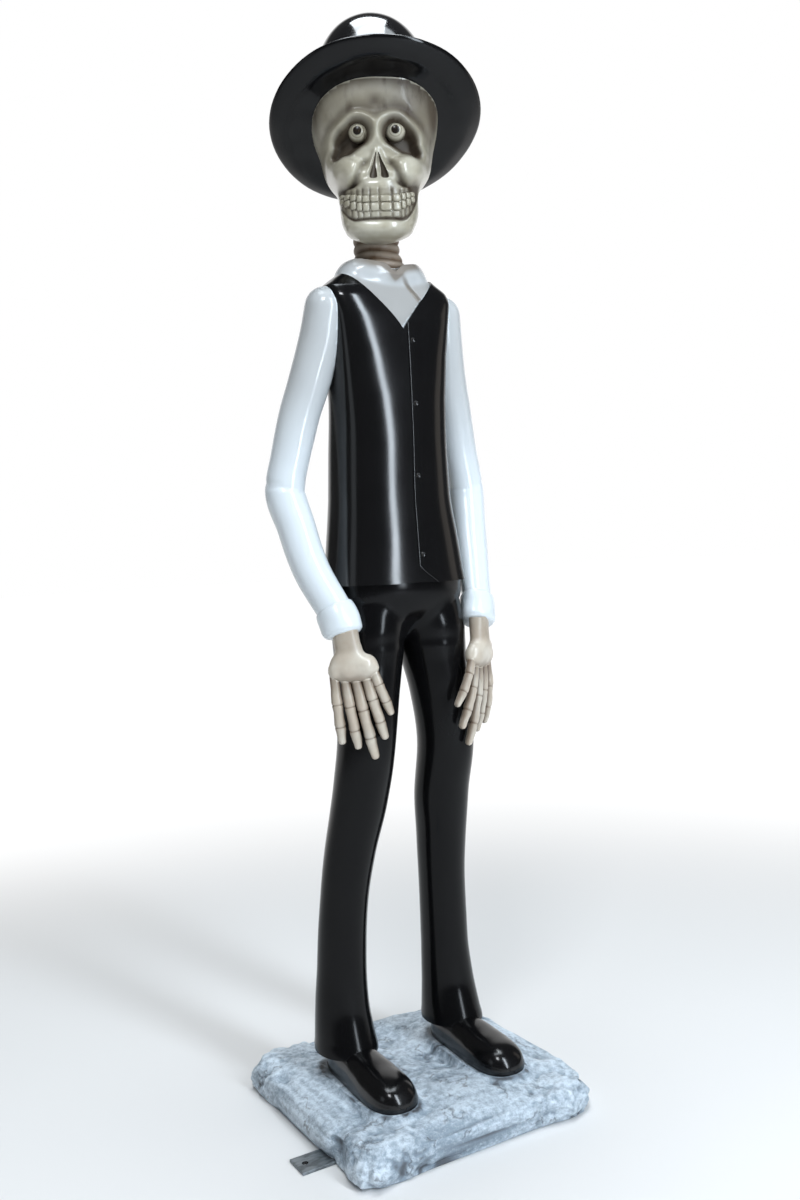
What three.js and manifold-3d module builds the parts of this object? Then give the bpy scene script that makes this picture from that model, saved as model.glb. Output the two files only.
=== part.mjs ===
// A life-size skeleton figure in a hat, waistcoat and trousers, cast in one piece. It stands on
// a rock-like plinth, and a flat steel strap under the plinth takes the floor bolts.
// Millimetres, +Z up. The origin is the middle of the plinth's underside. The figure faces -Y,
// and its right hand is towards -X. Its head is turned a little to its right.
import * as THREE from "three";
import { mergeVertices } from "three/addons/utils/BufferGeometryUtils.js";
import Module from "manifold-3d";

const wasm = await Module();
wasm.setup();

// Driving dimensions
const GAP = 0.3; // between pieces that touch
const PLINTH = { halfWidth: 228, halfDepth: 222, height: 60 };
const STRAP = { width: 47, thickness: 5, from: -271, to: 200, y: -88, holeRadius: 4.5, holeX: -256 };
const SOLE_Z = PLINTH.height + GAP;
const HEM_Z = 98; // lower edge of the trousers
const CROTCH_Z = 782;
const WAISTCOAT_HEM_Z = 880;
const NECK = { radius: 35, foot: 1370, top: 1520, y: 4, pitch: 24, ringHeight: 6 };
const HEAD = { z: 1600, turn: THREE.MathUtils.degToRad(-27) };
const HAT = {
  x: 7, // middle of the brim
  z: 1634,
  tilt: THREE.MathUtils.degToRad(26),
  turn: THREE.MathUtils.degToRad(-22.5),
  brim: 171,
  crown: 187,
};

const BONE = new THREE.MeshStandardMaterial({ color: 0xcfc6ae, roughness: 0.35, metalness: 0 });
const STONE = new THREE.MeshStandardMaterial({ color: 0xa9b3ba, roughness: 0.75, metalness: 0 });
const STEEL = new THREE.MeshStandardMaterial({ color: 0x6b7278, roughness: 0.45, metalness: 1 });

const { PI, abs, cos, exp, hypot, max, min, sign, sin, sqrt } = Math;
const V = (x, y, z) => new THREE.Vector3(x, y, z);
const UP = V(0, 0, 1);
const lerp = THREE.MathUtils.lerp;
const smooth = THREE.MathUtils.smoothstep; // (value, low, high)
const bell = (x) => exp(-x * x);

// Solids and how they join

// A closed three.js geometry as a solid.
function solid(geometry) {
  const bare = geometry.index ? geometry.toNonIndexed() : geometry.clone();
  bare.deleteAttribute("normal");
  bare.deleteAttribute("uv");
  const merged = mergeVertices(bare, 1e-3);
  return new wasm.Manifold(
    new wasm.Mesh({
      numProp: 3,
      vertProperties: merged.attributes.position.array,
      triVerts: new Uint32Array(merged.index.array),
    }),
  );
}

// A solid as a three.js geometry with flat faces.
function geometryOf(shape) {
  const mesh = shape.getMesh();
  const points = [];
  for (const v of mesh.triVerts) {
    points.push(...mesh.vertProperties.subarray(v * mesh.numProp, v * mesh.numProp + 3));
  }
  const geometry = new THREE.BufferGeometry();
  geometry.setAttribute("position", new THREE.Float32BufferAttribute(points, 3));
  geometry.computeVertexNormals();
  return geometry;
}

const join = (shapes) => shapes.reduce((all, one) => all.add(one));

// A closed surface through rings of points. Each ring turns right-handed about the way the rings
// advance, and a fan to its middle closes each end.
function skin(rings) {
  const count = rings[0].length;
  const middle = (ring) => ring.reduce((sum, p) => sum.add(p), V(0, 0, 0)).divideScalar(count);
  const points = [...rings.flat(), middle(rings[0]), middle(rings.at(-1))];
  const first = rings.length * count;
  const last = first + 1;
  const faces = [];
  for (let k = 0; k < count; k++) {
    const next = (k + 1) % count;
    for (let j = 0; j + 1 < rings.length; j++) {
      const [low, high] = [j * count, (j + 1) * count];
      faces.push(low + k, low + next, high + next, low + k, high + next, high + k);
    }
    const top = (rings.length - 1) * count;
    faces.push(first, next, k, last, top + k, top + next);
  }
  const geometry = new THREE.BufferGeometry().setFromPoints(points);
  geometry.setIndex(faces);
  return geometry;
}

// A ring of points: a superellipse with half axes a and b along the unit vectors u and v.
function ringOf(centre, u, v, a, b, power, count) {
  return Array.from({ length: count }, (_, k) => {
    const [c, s] = [cos((2 * PI * k) / count), sin((2 * PI * k) / count)];
    return centre
      .clone()
      .addScaledVector(u, a * sign(c) * abs(c) ** (2 / power))
      .addScaledVector(v, b * sign(s) * abs(s) ** (2 / power));
  });
}

// A limb through stations [x, y, z, half axis along side, half axis across it]. Level limbs keep
// their rings flat. A rounded end is closed by a dome whose rise is a share of the end's size.
function limb(stations, { side = V(1, 0, 0), count, steps, power = 2, level, round = [0, 0] }) {
  const path = new THREE.CatmullRomCurve3(stations.map(([x, y, z]) => V(x, y, z)));
  const sizes = new THREE.CatmullRomCurve3(stations.map((s) => V(s[3], s[4], 0)));
  const section = (t, shrink = 1, shift = 0) => {
    const along = level ? V(0, 0, sign(path.getTangent(t).z)) : path.getTangent(t);
    const u = side.clone().addScaledVector(along, -side.dot(along)).normalize();
    const v = along.clone().cross(u);
    const size = sizes.getPoint(t);
    const centre = path.getPoint(t).addScaledVector(along, shift * min(size.x, size.y));
    return ringOf(centre, u, v, size.x * shrink, size.y * shrink, power, count);
  };
  const dome = (t, rise) =>
    rise ? [70, 40].map((a) => (a * PI) / 180).map((a) => section(t, cos(a), rise * sin(a))) : [];
  const body = Array.from({ length: steps + 1 }, (_, i) => section(i / steps));
  return solid(skin([...dome(0, -round[0]), ...body, ...dome(1, round[1]).reverse()]));
}

// Mirrors stations to the figure's right for side -1.
const onSide = (side, stations) => stations.map(([x, ...rest]) => [side * x, ...rest]);

// Trousers and shoes

const HIPS = [
  [0, -7, 768, 36, 34],
  [0, -9, 800, 100, 67],
  [0, -9, 850, 117, 81],
  [0, -9, 920, 114, 82],
];
const LEG = [
  [54, -9, 860, 56, 72],
  [60, -12, CROTCH_Z, 55, 66],
  [70, -20, 700, 48, 53],
  [78, -18, 600, 46, 50],
  [82, 8, 510, 46, 47],
  [91, 30, 430, 42, 44],
  [99, 46, 340, 41, 42],
  [104, 55, 235, 42, 43],
  [107, 54, 165, 46, 48],
  [107, 46, HEM_Z, 52, 61],
];

function trousers() {
  const legs = [1, -1].map((s) => limb(onSide(s, LEG), { count: 12, steps: 11, level: true }));
  return join([limb(HIPS, { count: 20, steps: 4, power: 2.3, level: true }), ...legs]);
}

const SHOE = { x: 105, heel: 92, toe: -142, halfWidth: 41, instep: 52, toeHeight: 40 };

// A shoe is a run of arched sections from heel to toe on a flat sole.
function shoe(side) {
  const steps = 9;
  const rings = Array.from({ length: steps + 1 }, (_, i) => {
    const t = (1 - cos((PI * i) / steps)) / 2;
    const end = sqrt(max(0, 1 - (2 * t - 1) ** 4)) ** 0.9;
    const half = max(3, SHOE.halfWidth * end * (0.88 + 0.14 * smooth(t, 0.3, 0.75)));
    const rise = lerp(SHOE.instep, SHOE.toeHeight, smooth(t, 0.35, 0.8)) * max(0.1, end);
    const y = lerp(SHOE.heel, SHOE.toe, t);
    return Array.from({ length: 12 }, (_, k) => {
      const a = (2 * PI * k) / 12;
      const [c, s] = [cos(a), sin(a)];
      const across = half * sign(c) * abs(c) ** 0.75;
      const up = s > 0 ? rise * s ** 0.85 : 0;
      return V(side * SHOE.x + across, y, SOLE_Z + (s < -0.01 ? 0 : up + 7 * (1 - abs(s))));
    }).map((p, k) => (sin((2 * PI * k) / 12) < -0.01 ? p.setZ(SOLE_Z) : p));
  });
  return solid(skin(rings));
}

// Shirt and waistcoat

const TORSO = [
  [0, -9, WAISTCOAT_HEM_Z, 122, 86],
  [0, -6, 950, 114, 82],
  [0, -3, 1020, 105, 78],
  [0, -5, 1100, 101, 75],
  [0, -9, 1180, 101, 68],
  [0, -11, 1250, 112, 62],
  [0, -11, 1310, 121, 56],
  [0, -10, 1345, 117, 45],
  [0, -8, 1368, 98, 40],
  [0, -6, 1392, 66, 40],
];
const NECKLINE = { bottom: 1288, halfWidth: 82, topZ: 1400 };
const CLOTH = 4; // how far the waistcoat stands off the shirt
const ARM = [
  [112, 0, 1326, 31, 31],
  [126, 8, 1275, 33, 32],
  [147, 20, 1180, 33, 32],
  [166, 30, 1090, 32, 31],
  [176, 32, 1034, 32, 31],
  [169, 16, 980, 31, 29],
  [156, -10, 905, 30, 27],
  [145, -35, 842, 28, 24],
];
const CUFF = [
  [147, -31, 848, 30, 26],
  [140, -45, 820, 31, 27],
  [135, -54, 799, 30, 26],
];
const ACROSS = V(0.855, 0.52, 0); // the hand's width, from thumb to little finger

const waistcoatBody = () => limb(TORSO, { count: 20, steps: 11, power: 2.6, level: true });

// The part of the shirt that shows at the neck, with its lower end inside the waistcoat.
function shirtFront() {
  const stations = TORSO.filter((s) => s[2] > 1200);
  const inside = stations.map(([x, y, z, a, b]) => [x, y, z, a - CLOTH, b - CLOTH]);
  return limb(inside, { count: 18, steps: 5, power: 2.6, level: true });
}

// The prism that opens the waistcoat's neck, wide at the top and pointed at the bottom.
function neckline() {
  const outline = new THREE.Shape([
    new THREE.Vector2(0, NECKLINE.bottom),
    new THREE.Vector2(NECKLINE.halfWidth, NECKLINE.topZ - 22),
    new THREE.Vector2(NECKLINE.halfWidth, NECKLINE.topZ + 20),
    new THREE.Vector2(-NECKLINE.halfWidth, NECKLINE.topZ + 20),
    new THREE.Vector2(-NECKLINE.halfWidth, NECKLINE.topZ - 22),
  ]);
  const prism = new THREE.ExtrudeGeometry(outline, { depth: 110, bevelEnabled: false });
  return solid(prism.rotateX(PI / 2));
}

function collar() {
  const stations = [
    [0, -6, 1366, 84, 44],
    [0, -6, 1380, 84, 50],
    [0, -4, 1396, 74, 51],
    [0, -1, 1408, 60, 47],
  ];
  return limb(stations, { count: 20, steps: 5, power: 2.2, level: true, round: [0, 0.12] });
}

function sleeve(side) {
  const across = ACROSS.clone().multiply(V(side, 1, 1));
  const arm = limb(onSide(side, ARM), { side: across, count: 10, steps: 9, round: [1, 0] });
  return arm.add(limb(onSide(side, CUFF), { side: across, count: 10, steps: 2 }));
}

const BUTTON = { radius: 6, rise: 3, heights: [1262, 1155, 1040, 925], x: 11 };

// The waistcoat's front edge and buttons, standing just proud of the cloth.
function fastening() {
  const frontY = (z) => {
    const i = TORSO.findIndex((s) => s[2] > z);
    const [low, high] = [TORSO[i - 1], TORSO[i]];
    const t = (z - low[2]) / (high[2] - low[2]);
    return lerp(low[1] - low[4], high[1] - high[4], t);
  };
  return BUTTON.heights.map((z) => {
    const disc = new THREE.CylinderGeometry(BUTTON.radius, BUTTON.radius, 12, 10);
    return solid(disc.translate(BUTTON.x, -frontY(z) + BUTTON.rise - 6, -z).rotateX(PI));
  });
}

// Hands

const WRIST = V(124, -66, 757); // the middle of the bones of the wrist, on the figure's left
// Each digit: [across, down] of its root and of its tip from there, and its radius. Across grows
// towards the thumb.
const DIGITS = [
  { root: [-27, 14], tip: [-17, 130], radius: 8.5 },
  { root: [-11, 14], tip: [7, 138], radius: 8.5 },
  { root: [5, 12], tip: [33, 152], radius: 8.5 },
  { root: [20, 8], tip: [49, 120], radius: 8.5 },
  { root: [30, -4], tip: [58, 83], radius: 8 },
];

function hand(side) {
  const across = ACROSS.clone().multiply(V(-side, -1, 1));
  const out = V(side * 0.52, -0.855, 0);
  const wrist = WRIST.clone().multiply(V(side, 1, 1));
  const at = (a, down, off = 0) =>
    wrist.clone().addScaledVector(across, a).addScaledVector(out, off).add(V(0, 0, -down));
  const station = (a, down, off, half, thick) => [...at(a, down, off).toArray(), half, thick];
  const block = limb(
    [
      station(-5, -58, 2, 19, 15),
      station(-5, -32, 2, 19, 14),
      station(-1, -12, 2, 28, 15),
      station(2, 6, 0, 37, 15),
      station(0, 22, -2, 33, 11),
    ],
    { side: across, count: 10, steps: 5, power: 2.3, level: true, round: [0, 0.5] },
  );
  const fan = side > 0 ? 1.32 : 1; // the left hand is spread more widely
  const digits = DIGITS.map(({ root, tip, radius }) => {
    const share = [0, 0.18, 0.39, 0.55, 0.72, 0.88, 1];
    const swell = [0.8, 0.9, 1.08, 0.92, 1.05, 0.92, 0.7];
    const stations = share.map((t, i) =>
      station(
        lerp(root[0], fan * tip[0], t),
        lerp(root[1], tip[1], t),
        lerp(0, -8, t) + 6 * sin(PI * t),
        radius * swell[i],
        radius * swell[i] * 0.9,
      ),
    );
    return limb(stations, { side: across, count: 5, steps: 5, round: [0, 0.9] });
  });
  return join([block, ...digits]);
}

// Head: level rings that follow the skull, with sockets cut in and teeth set on

// Level sections of the skull: [height from the head's middle, half width, how far it reaches
// forwards, how far it reaches back].
const SKULL = [
  [-174, 30, 76, -36],
  [-168, 46, 85, -26],
  [-150, 60, 92, -6],
  [-130, 65, 94, 10],
  [-108, 66, 94, 24],
  [-92, 73, 91, 42],
  [-76, 88, 88, 66],
  [-52, 93, 86, 86],
  [-20, 99, 86, 98],
  [15, 105, 92, 104],
  [55, 106, 95, 104],
  [95, 96, 84, 94],
  [125, 68, 56, 68],
];
const SKULL_POWER = 2.4;
// An eye socket droops from beside the nose to the temple: [across, up, half width, half height].
const SOCKET = [
  [24, -4, 14, 22],
  [34, -10, 17, 21],
  [47, -22, 15, 16],
  [58, -32, 10, 10],
];
const EYE = { x: 31, z: -3, radius: 16, y: -70 };
const TEETH = { z: -126, rise: 25, end: 62, upper: 16, lower: 15, depth: 13, perSide: 5, width: 12 };

const skullSection = new THREE.CubicInterpolant(
  SKULL.map((s) => s[0]),
  SKULL.flatMap((s) => s.slice(1)),
  3,
  new Float32Array(3),
);

// The skull's own surface at an angle from straight ahead, before any carving.
function skullPoint(z, angle) {
  const [half, front, back] = skullSection.evaluate(z);
  const [s, c] = [sin(angle), cos(angle)];
  const x = half * sign(s) * abs(s) ** (2 / SKULL_POWER);
  const reach = ((front + back) / 2) * sign(c) * abs(c) ** (2 / SKULL_POWER);
  return V(x, (back - front) / 2 - reach, z);
}

// How far the face stands out at x across and z up from the head's middle.
function relief(x, z) {
  const ax = abs(x);
  const cheek = 14 * bell(hypot((ax - 50) / 26, (z + 68) / 19) ** 1.4);
  const brow = 7 * bell(hypot(ax - 38, z + 20) / 9 - 4.4) * smooth(z, -30, -5);
  const muzzle = 4 * bell(hypot(x / 32, (z + 98) / 13));
  const bridge = 5 * bell(hypot(x / 9, (z + 18) / 30));
  const hollow = -7 * bell((z + 92) / 11) * smooth(ax, 42, 62);
  return cheek + brow + muzzle + bridge + hollow;
}

function cranium() {
  const [columns, rows] = [30, 21];
  const [foot, top] = [SKULL[0][0], SKULL.at(-1)[0]];
  const rings = Array.from({ length: rows + 1 }, (_, j) => {
    // Rows crowd towards the face, below the brow
    const t = j / rows;
    const z = lerp(foot, top, t - 0.09 * sin(PI * t) ** 2);
    return Array.from({ length: columns }, (_, k) => {
      const even = (2 * PI * k) / columns - PI;
      const point = skullPoint(z, even - 0.5 * sin(even));
      const facing = smooth(cos(even - 0.5 * sin(even)), 0.05, 0.45);
      return point.setY(point.y - facing * relief(point.x, z));
    });
  });
  return solid(skin(rings));
}

// The outline of a socket: the hull of its four rounds, as points in even directions.
function socketOutline(count) {
  return Array.from({ length: count }, (_, k) => {
    const [c, s] = [cos((2 * PI * k) / count), sin((2 * PI * k) / count)];
    const edges = SOCKET.map(([x, z, a, b]) => [x + a * c, z + b * s]);
    const reach = edges.map(([x, z]) => x * c + z * s);
    return edges[reach.indexOf(max(...reach))];
  });
}

// Sockets narrow a little towards their flat floors, inside the head.
function sockets() {
  const layers = [
    { y: -52, share: 0.92 },
    { y: -130, share: 1.02 },
  ];
  return [1, -1].map((s) => {
    const rings = layers.map(({ y, share }) =>
      socketOutline(11).map(([x, z]) => V(s * x * share, y, z * share)),
    );
    return solid(skin(s > 0 ? rings : rings.reverse()));
  });
}

// One of the two slots of the nose, beside the thin bone between them: [across, up].
const NOSE_SLOT = [
  [1.5, -46],
  [2, -84],
  [13, -87],
  [12, -74],
];

function noseSlots() {
  return [1, -1].map((s) => {
    const shape = new THREE.Shape(NOSE_SLOT.map(([x, z]) => new THREE.Vector2(s * x, -z)));
    const prism = new THREE.ExtrudeGeometry(shape, { depth: 60, bevelEnabled: false });
    return solid(prism.rotateX(-PI / 2).translate(0, -136, 0));
  });
}

// Two rows of blocks that follow the jaw and curve up to the corners of the smile.
function teeth() {
  const blocks = [];
  for (let i = -TEETH.perSide; i < TEETH.perSide; i++) {
    const x = (i + 0.5) * TEETH.width * (1 - 0.04 * abs(i + 0.5));
    const line = TEETH.z + TEETH.rise * (x / TEETH.end) ** 2;
    const [half] = skullSection.evaluate(line);
    const angle = Math.asin(min(1, abs(x) / half) ** (SKULL_POWER / 2)) * sign(x);
    const on = skullPoint(line, angle);
    for (const row of [TEETH.upper, -TEETH.lower]) {
      const block = new THREE.BoxGeometry(TEETH.width - 2, TEETH.depth, abs(row) - 2);
      block.rotateZ(on.x / 75).translate(on.x * 1.01, on.y + 2, line + row / 2);
      blocks.push(solid(block));
    }
  }
  return blocks;
}

function skull() {
  const eyes = [1, -1].map((s) => {
    const ball = new THREE.SphereGeometry(EYE.radius, 10, 7).rotateX(PI / 2);
    return solid(ball.translate(s * EYE.x, EYE.y, EYE.z));
  });
  const carved = cranium().subtract(join([...sockets(), ...noseSlots()]));
  return join([carved, ...eyes, ...teeth()]);
}

// The hat is turned about its own axis: a domed crown, a band and a brim that curls up at the
// edge. Its middle is the middle of the brim.
function hat() {
  const { brim, crown } = HAT;
  const profile = new THREE.Path();
  profile.moveTo(0, -6);
  profile.lineTo(100, -6);
  profile.quadraticCurveTo(134, -16, brim - 6, -4);
  profile.quadraticCurveTo(brim + 3, 0, brim - 5, 5);
  profile.quadraticCurveTo(136, -4, 113, 8);
  profile.lineTo(107, 34);
  profile.lineTo(103, 36);
  profile.quadraticCurveTo(98, 84, 93, crown * 0.66);
  profile.bezierCurveTo(89, crown * 0.86, 50, crown, 0, crown);
  const outline = profile.getPoints(3);
  outline[0].x = 0;
  outline.at(-1).x = 0;
  return solid(new THREE.LatheGeometry(outline, 24).rotateX(PI / 2));
}

// Places a shape that was made about the head's middle, facing -Y.
function onHead(shape, x, z, turn, lean = 0) {
  const place = new THREE.Matrix4()
    .makeTranslation(x, 0, z)
    .multiply(new THREE.Matrix4().makeRotationZ(turn))
    .multiply(new THREE.Matrix4().makeRotationX(-lean));
  return shape.transform(place.elements);
}

// The neck is a stack of rounded bones.
function neck() {
  const steps = 14;
  const rings = Array.from({ length: steps + 1 }, (_, i) => {
    const z = lerp(NECK.foot, NECK.top, i / steps);
    const size = NECK.radius + NECK.ringHeight * abs(sin((PI * (z - NECK.foot)) / NECK.pitch));
    return ringOf(V(0, NECK.y, z), V(1, 0, 0), V(0, 1, 0), size, size, 2, 12);
  });
  return solid(skin(rings));
}

// The whole casting

function figure() {
  const waistcoat = waistcoatBody().subtract(neckline());
  const shirt = join([shirtFront(), collar(), sleeve(1), sleeve(-1)]);
  const head = join([
    onHead(skull(), 0, HEAD.z, HEAD.turn),
    onHead(hat(), HAT.x, HAT.z, HAT.turn, HAT.tilt),
    neck(),
  ]);
  return join([
    trousers(), shoe(1), shoe(-1), waistcoat, ...fastening(), shirt, hand(1), hand(-1), head,
  ]);
}

// The plinth: a rock with worn edges, flat underneath and flat where each shoe stands

// How far a side and the top of the rock close in: [height, share of the full outline].
const ROCK = [
  [0, 0.965],
  [18, 1],
  [36, 0.985],
  [50, 0.94],
  [57, 0.86],
  [60, 0.66],
  [60, 0.4],
  [60, 0.16],
];

function rock() {
  const count = 36;
  const rings = ROCK.map(([z, share]) =>
    Array.from({ length: count }, (_, k) => {
      const a = (2 * PI * k) / count;
      const [c, s] = [cos(a), sin(a)];
      const rough = 1 + 0.014 * sin(5 * a + 1) + 0.01 * sin(9 * a + z / 20) + 0.006 * sin(17 * a);
      const power = lerp(3, 9, smooth(share, 0.3, 0.9));
      const x = PLINTH.halfWidth * share * rough * sign(c) * abs(c) ** (2 / power);
      const y = PLINTH.halfDepth * share * rough * sign(s) * abs(s) ** (2 / power);
      const dip = 3.5 * (1.3 + sin(x / 41 + y / 60) + sin(y / 33 - x / 90 + 2) / 2);
      return V(x, y, z - (z > 40 ? max(0, dip) : 0));
    }),
  );
  return solid(skin(rings));
}

function plinth() {
  const pads = [1, -1].map((s) => {
    const middle = (SHOE.heel + SHOE.toe) / 2;
    const reach = (SHOE.heel - SHOE.toe) / 2 + 8;
    const rings = [PLINTH.height - 12, PLINTH.height].map((z, i) =>
      ringOf(V(s * SHOE.x, middle, z), V(1, 0, 0), V(0, 1, 0), 54 - 6 * i, reach - 4 * i, 3, 14),
    );
    return solid(skin(rings));
  });
  // The groove is open at the figure's right, where the strap comes out
  const depth = STRAP.thickness + GAP;
  const groove = new THREE.BoxGeometry(500, STRAP.width + 2 * GAP, 2 * depth);
  return join([rock(), ...pads]).subtract(solid(groove.translate(STRAP.to + GAP - 250, STRAP.y, 0)));
}

// The strap: a flat bar let into the underside. One end, with its bolt hole, sticks out.
function strap() {
  const half = STRAP.width / 2;
  const outline = new THREE.Shape();
  outline.moveTo(STRAP.from, -half);
  outline.lineTo(STRAP.to, -half);
  outline.lineTo(STRAP.to, half);
  outline.lineTo(STRAP.from, half);
  const hole = new THREE.Path();
  hole.absarc(STRAP.holeX, 0, STRAP.holeRadius, 0, 2 * PI);
  outline.holes.push(hole);
  const options = { depth: STRAP.thickness, bevelEnabled: false, curveSegments: 8 };
  return solid(new THREE.ExtrudeGeometry(outline, options).translate(0, STRAP.y, 0));
}

function piece(name, shape, material) {
  const mesh = new THREE.Mesh(geometryOf(shape), material);
  mesh.name = name;
  return mesh;
}

const statue = new THREE.Group();
statue.add(
  piece("figure", figure(), BONE),
  piece("plinth", plinth(), STONE),
  piece("fixing_strap", strap(), STEEL),
);

export default statue;
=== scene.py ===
"""A skeleton figure in a hat, waistcoat and trousers, cast in one piece, on a rock-like plinth.

Shapes are built in millimetres in the frame of the CAD model (+Z up, the body facing -Y, its right
hand towards -X) and are turned to metres when a mesh is made.
"""

import logging
import math
from dataclasses import dataclass, field
from enum import Enum
from typing import Callable, Sequence

import bpy
import numpy as np
from mathutils import Matrix, Vector


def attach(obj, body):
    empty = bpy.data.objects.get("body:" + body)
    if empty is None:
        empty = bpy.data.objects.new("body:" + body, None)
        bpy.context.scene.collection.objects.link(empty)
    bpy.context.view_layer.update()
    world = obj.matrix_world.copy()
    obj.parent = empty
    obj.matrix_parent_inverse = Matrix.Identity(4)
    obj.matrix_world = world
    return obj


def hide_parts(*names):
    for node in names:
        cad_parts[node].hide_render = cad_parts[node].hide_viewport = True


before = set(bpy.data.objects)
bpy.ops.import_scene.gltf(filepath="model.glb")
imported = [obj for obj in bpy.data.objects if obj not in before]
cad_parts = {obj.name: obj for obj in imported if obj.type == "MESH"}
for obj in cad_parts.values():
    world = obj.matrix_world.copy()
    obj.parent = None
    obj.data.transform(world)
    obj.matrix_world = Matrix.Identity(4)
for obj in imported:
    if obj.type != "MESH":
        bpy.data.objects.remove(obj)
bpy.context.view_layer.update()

logging.basicConfig(level=logging.INFO, format="%(message)s")
LOG = logging.getLogger("figure")
MM = 0.001
Array = np.ndarray


# Numbers and curves


def smooth(x: Array, low: float, high: float) -> Array:
    """A step that rises smoothly from 0 at low to 1 at high."""
    t = np.clip((np.asarray(x, float) - low) / (high - low), 0, 1)
    return t * t * (3 - 2 * t)


def bell(x: Array) -> Array:
    """A bell curve, 1 at 0."""
    return np.exp(-np.square(x))


def mix(a: Array, b: Array, t: Array) -> Array:
    """The value a share t of the way from a to b."""
    return a + (b - a) * t


def ripple(points: Array, size: float, seed: float) -> Array:
    """Soft waves from -1 to 1 over points, about size across, as hand-worked surfaces have.

    Args:
        points: An array of points whose last axis is x, y, z.
        size: The rough distance between crests.
        seed: Shifts the pattern.

    Returns:
        One value for each point.
    """
    x, y, z = (points[..., i] * (2 * math.pi / size) for i in range(3))
    a = np.sin(x + 1.3 * np.sin(0.7 * z + seed) + seed)
    b = np.sin(1.1 * y - 0.6 * z + 1.7 * seed + np.sin(0.9 * x))
    c = np.sin(0.8 * z + 0.5 * x - 0.4 * y + 2.3 * seed)
    return (a + b + c) / 3


def lattice(points: Array, seed: int) -> Array:
    """Random values from -1 to 1 at whole-number points, blended smoothly in between.

    Args:
        points: An array of points whose last axis is x, y, z.
        seed: Picks the set of random values.

    Returns:
        One value for each point.
    """
    base = np.floor(points).astype(np.int64)
    part = points - base
    part = part * part * (3 - 2 * part)
    total = np.zeros(points.shape[:-1])
    for corner in range(8):
        offset = np.array([corner & 1, corner >> 1 & 1, corner >> 2 & 1])
        cell = base + offset
        # Large odd numbers scramble each cell's place into an even spread of values
        key = cell[..., 0] * 73856093 ^ cell[..., 1] * 19349663 ^ cell[..., 2] * 83492791
        key = (key ^ seed * 2654435761) & 0xFFFFFFFF
        key = (key ^ key >> 15) * 2246822519 & 0xFFFFFFFF
        key = (key ^ key >> 13) * 3266489917 & 0xFFFFFFFF
        value = (key ^ key >> 16) / 0xFFFFFFFF * 2 - 1
        total += value * np.prod(np.where(offset == 1, part, 1 - part), axis=-1)
    return total


def roughness(points: Array, size: float, octaves: int, seed: int) -> Array:
    """Layered random relief, about -1 to 1.

    Args:
        points: An array of points whose last axis is x, y, z.
        size: How far across the largest lumps are.
        octaves: How many layers there are, each half the size and height of the one before.
        seed: Picks the pattern.

    Returns:
        One value for each point.
    """
    total = np.zeros(points.shape[:-1])
    for octave in range(octaves):
        total += lattice(points * (2**octave / size), seed + octave) * 0.5**octave
    return total


def through(points: Array, t: Array) -> Array:
    """A centripetal Catmull-Rom curve through points, the same curve that the solids follow.

    Args:
        points: One row for each station.
        t: Shares of the way along, from 0 to 1.

    Returns:
        One row for each t.
    """
    ends = np.vstack([2 * points[0] - points[1], points, 2 * points[-1] - points[-2]])
    place = np.clip(np.asarray(t, float), 0, 1) * (len(points) - 1)
    i = np.minimum(place.astype(int), len(points) - 2)
    w = (place - i)[:, None]
    p0, p1, p2, p3 = (ends[i + k] for k in range(4))
    gaps = [np.sqrt(np.linalg.norm(b - a, axis=1))[:, None] for a, b in ((p0, p1), (p1, p2), (p2, p3))]
    d1 = np.where(gaps[1] < 1e-4, 1.0, gaps[1])
    d0, d2 = (np.where(g < 1e-4, d1, g) for g in (gaps[0], gaps[2]))
    m1 = ((p1 - p0) / d0 - (p2 - p0) / (d0 + d1) + (p2 - p1) / d1) * d1
    m2 = ((p2 - p1) / d1 - (p3 - p1) / (d1 + d2) + (p3 - p2) / d2) * d1
    rise = -3 * p1 + 3 * p2 - 2 * m1 - m2
    return p1 + w * (m1 + w * (rise + w * (2 * p1 - 2 * p2 + m1 + m2)))


def beside(x: Array, y: Array, start: Sequence[float], end: Sequence[float]) -> tuple[Array, Array]:
    """Where points lie against a straight line.

    Args:
        x: The points' first coordinate.
        y: The points' second coordinate.
        start: The line's first end.
        end: The line's second end.

    Returns:
        The share of the way along the line, and the signed distance off it.
    """
    (ax, ay), (bx, by) = start, end
    dx, dy = bx - ax, by - ay
    length = math.hypot(dx, dy)
    share = ((x - ax) * dx + (y - ay) * dy) / length**2
    return share, ((x - ax) * -dy + (y - ay) * dx) / length


# Materials


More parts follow.
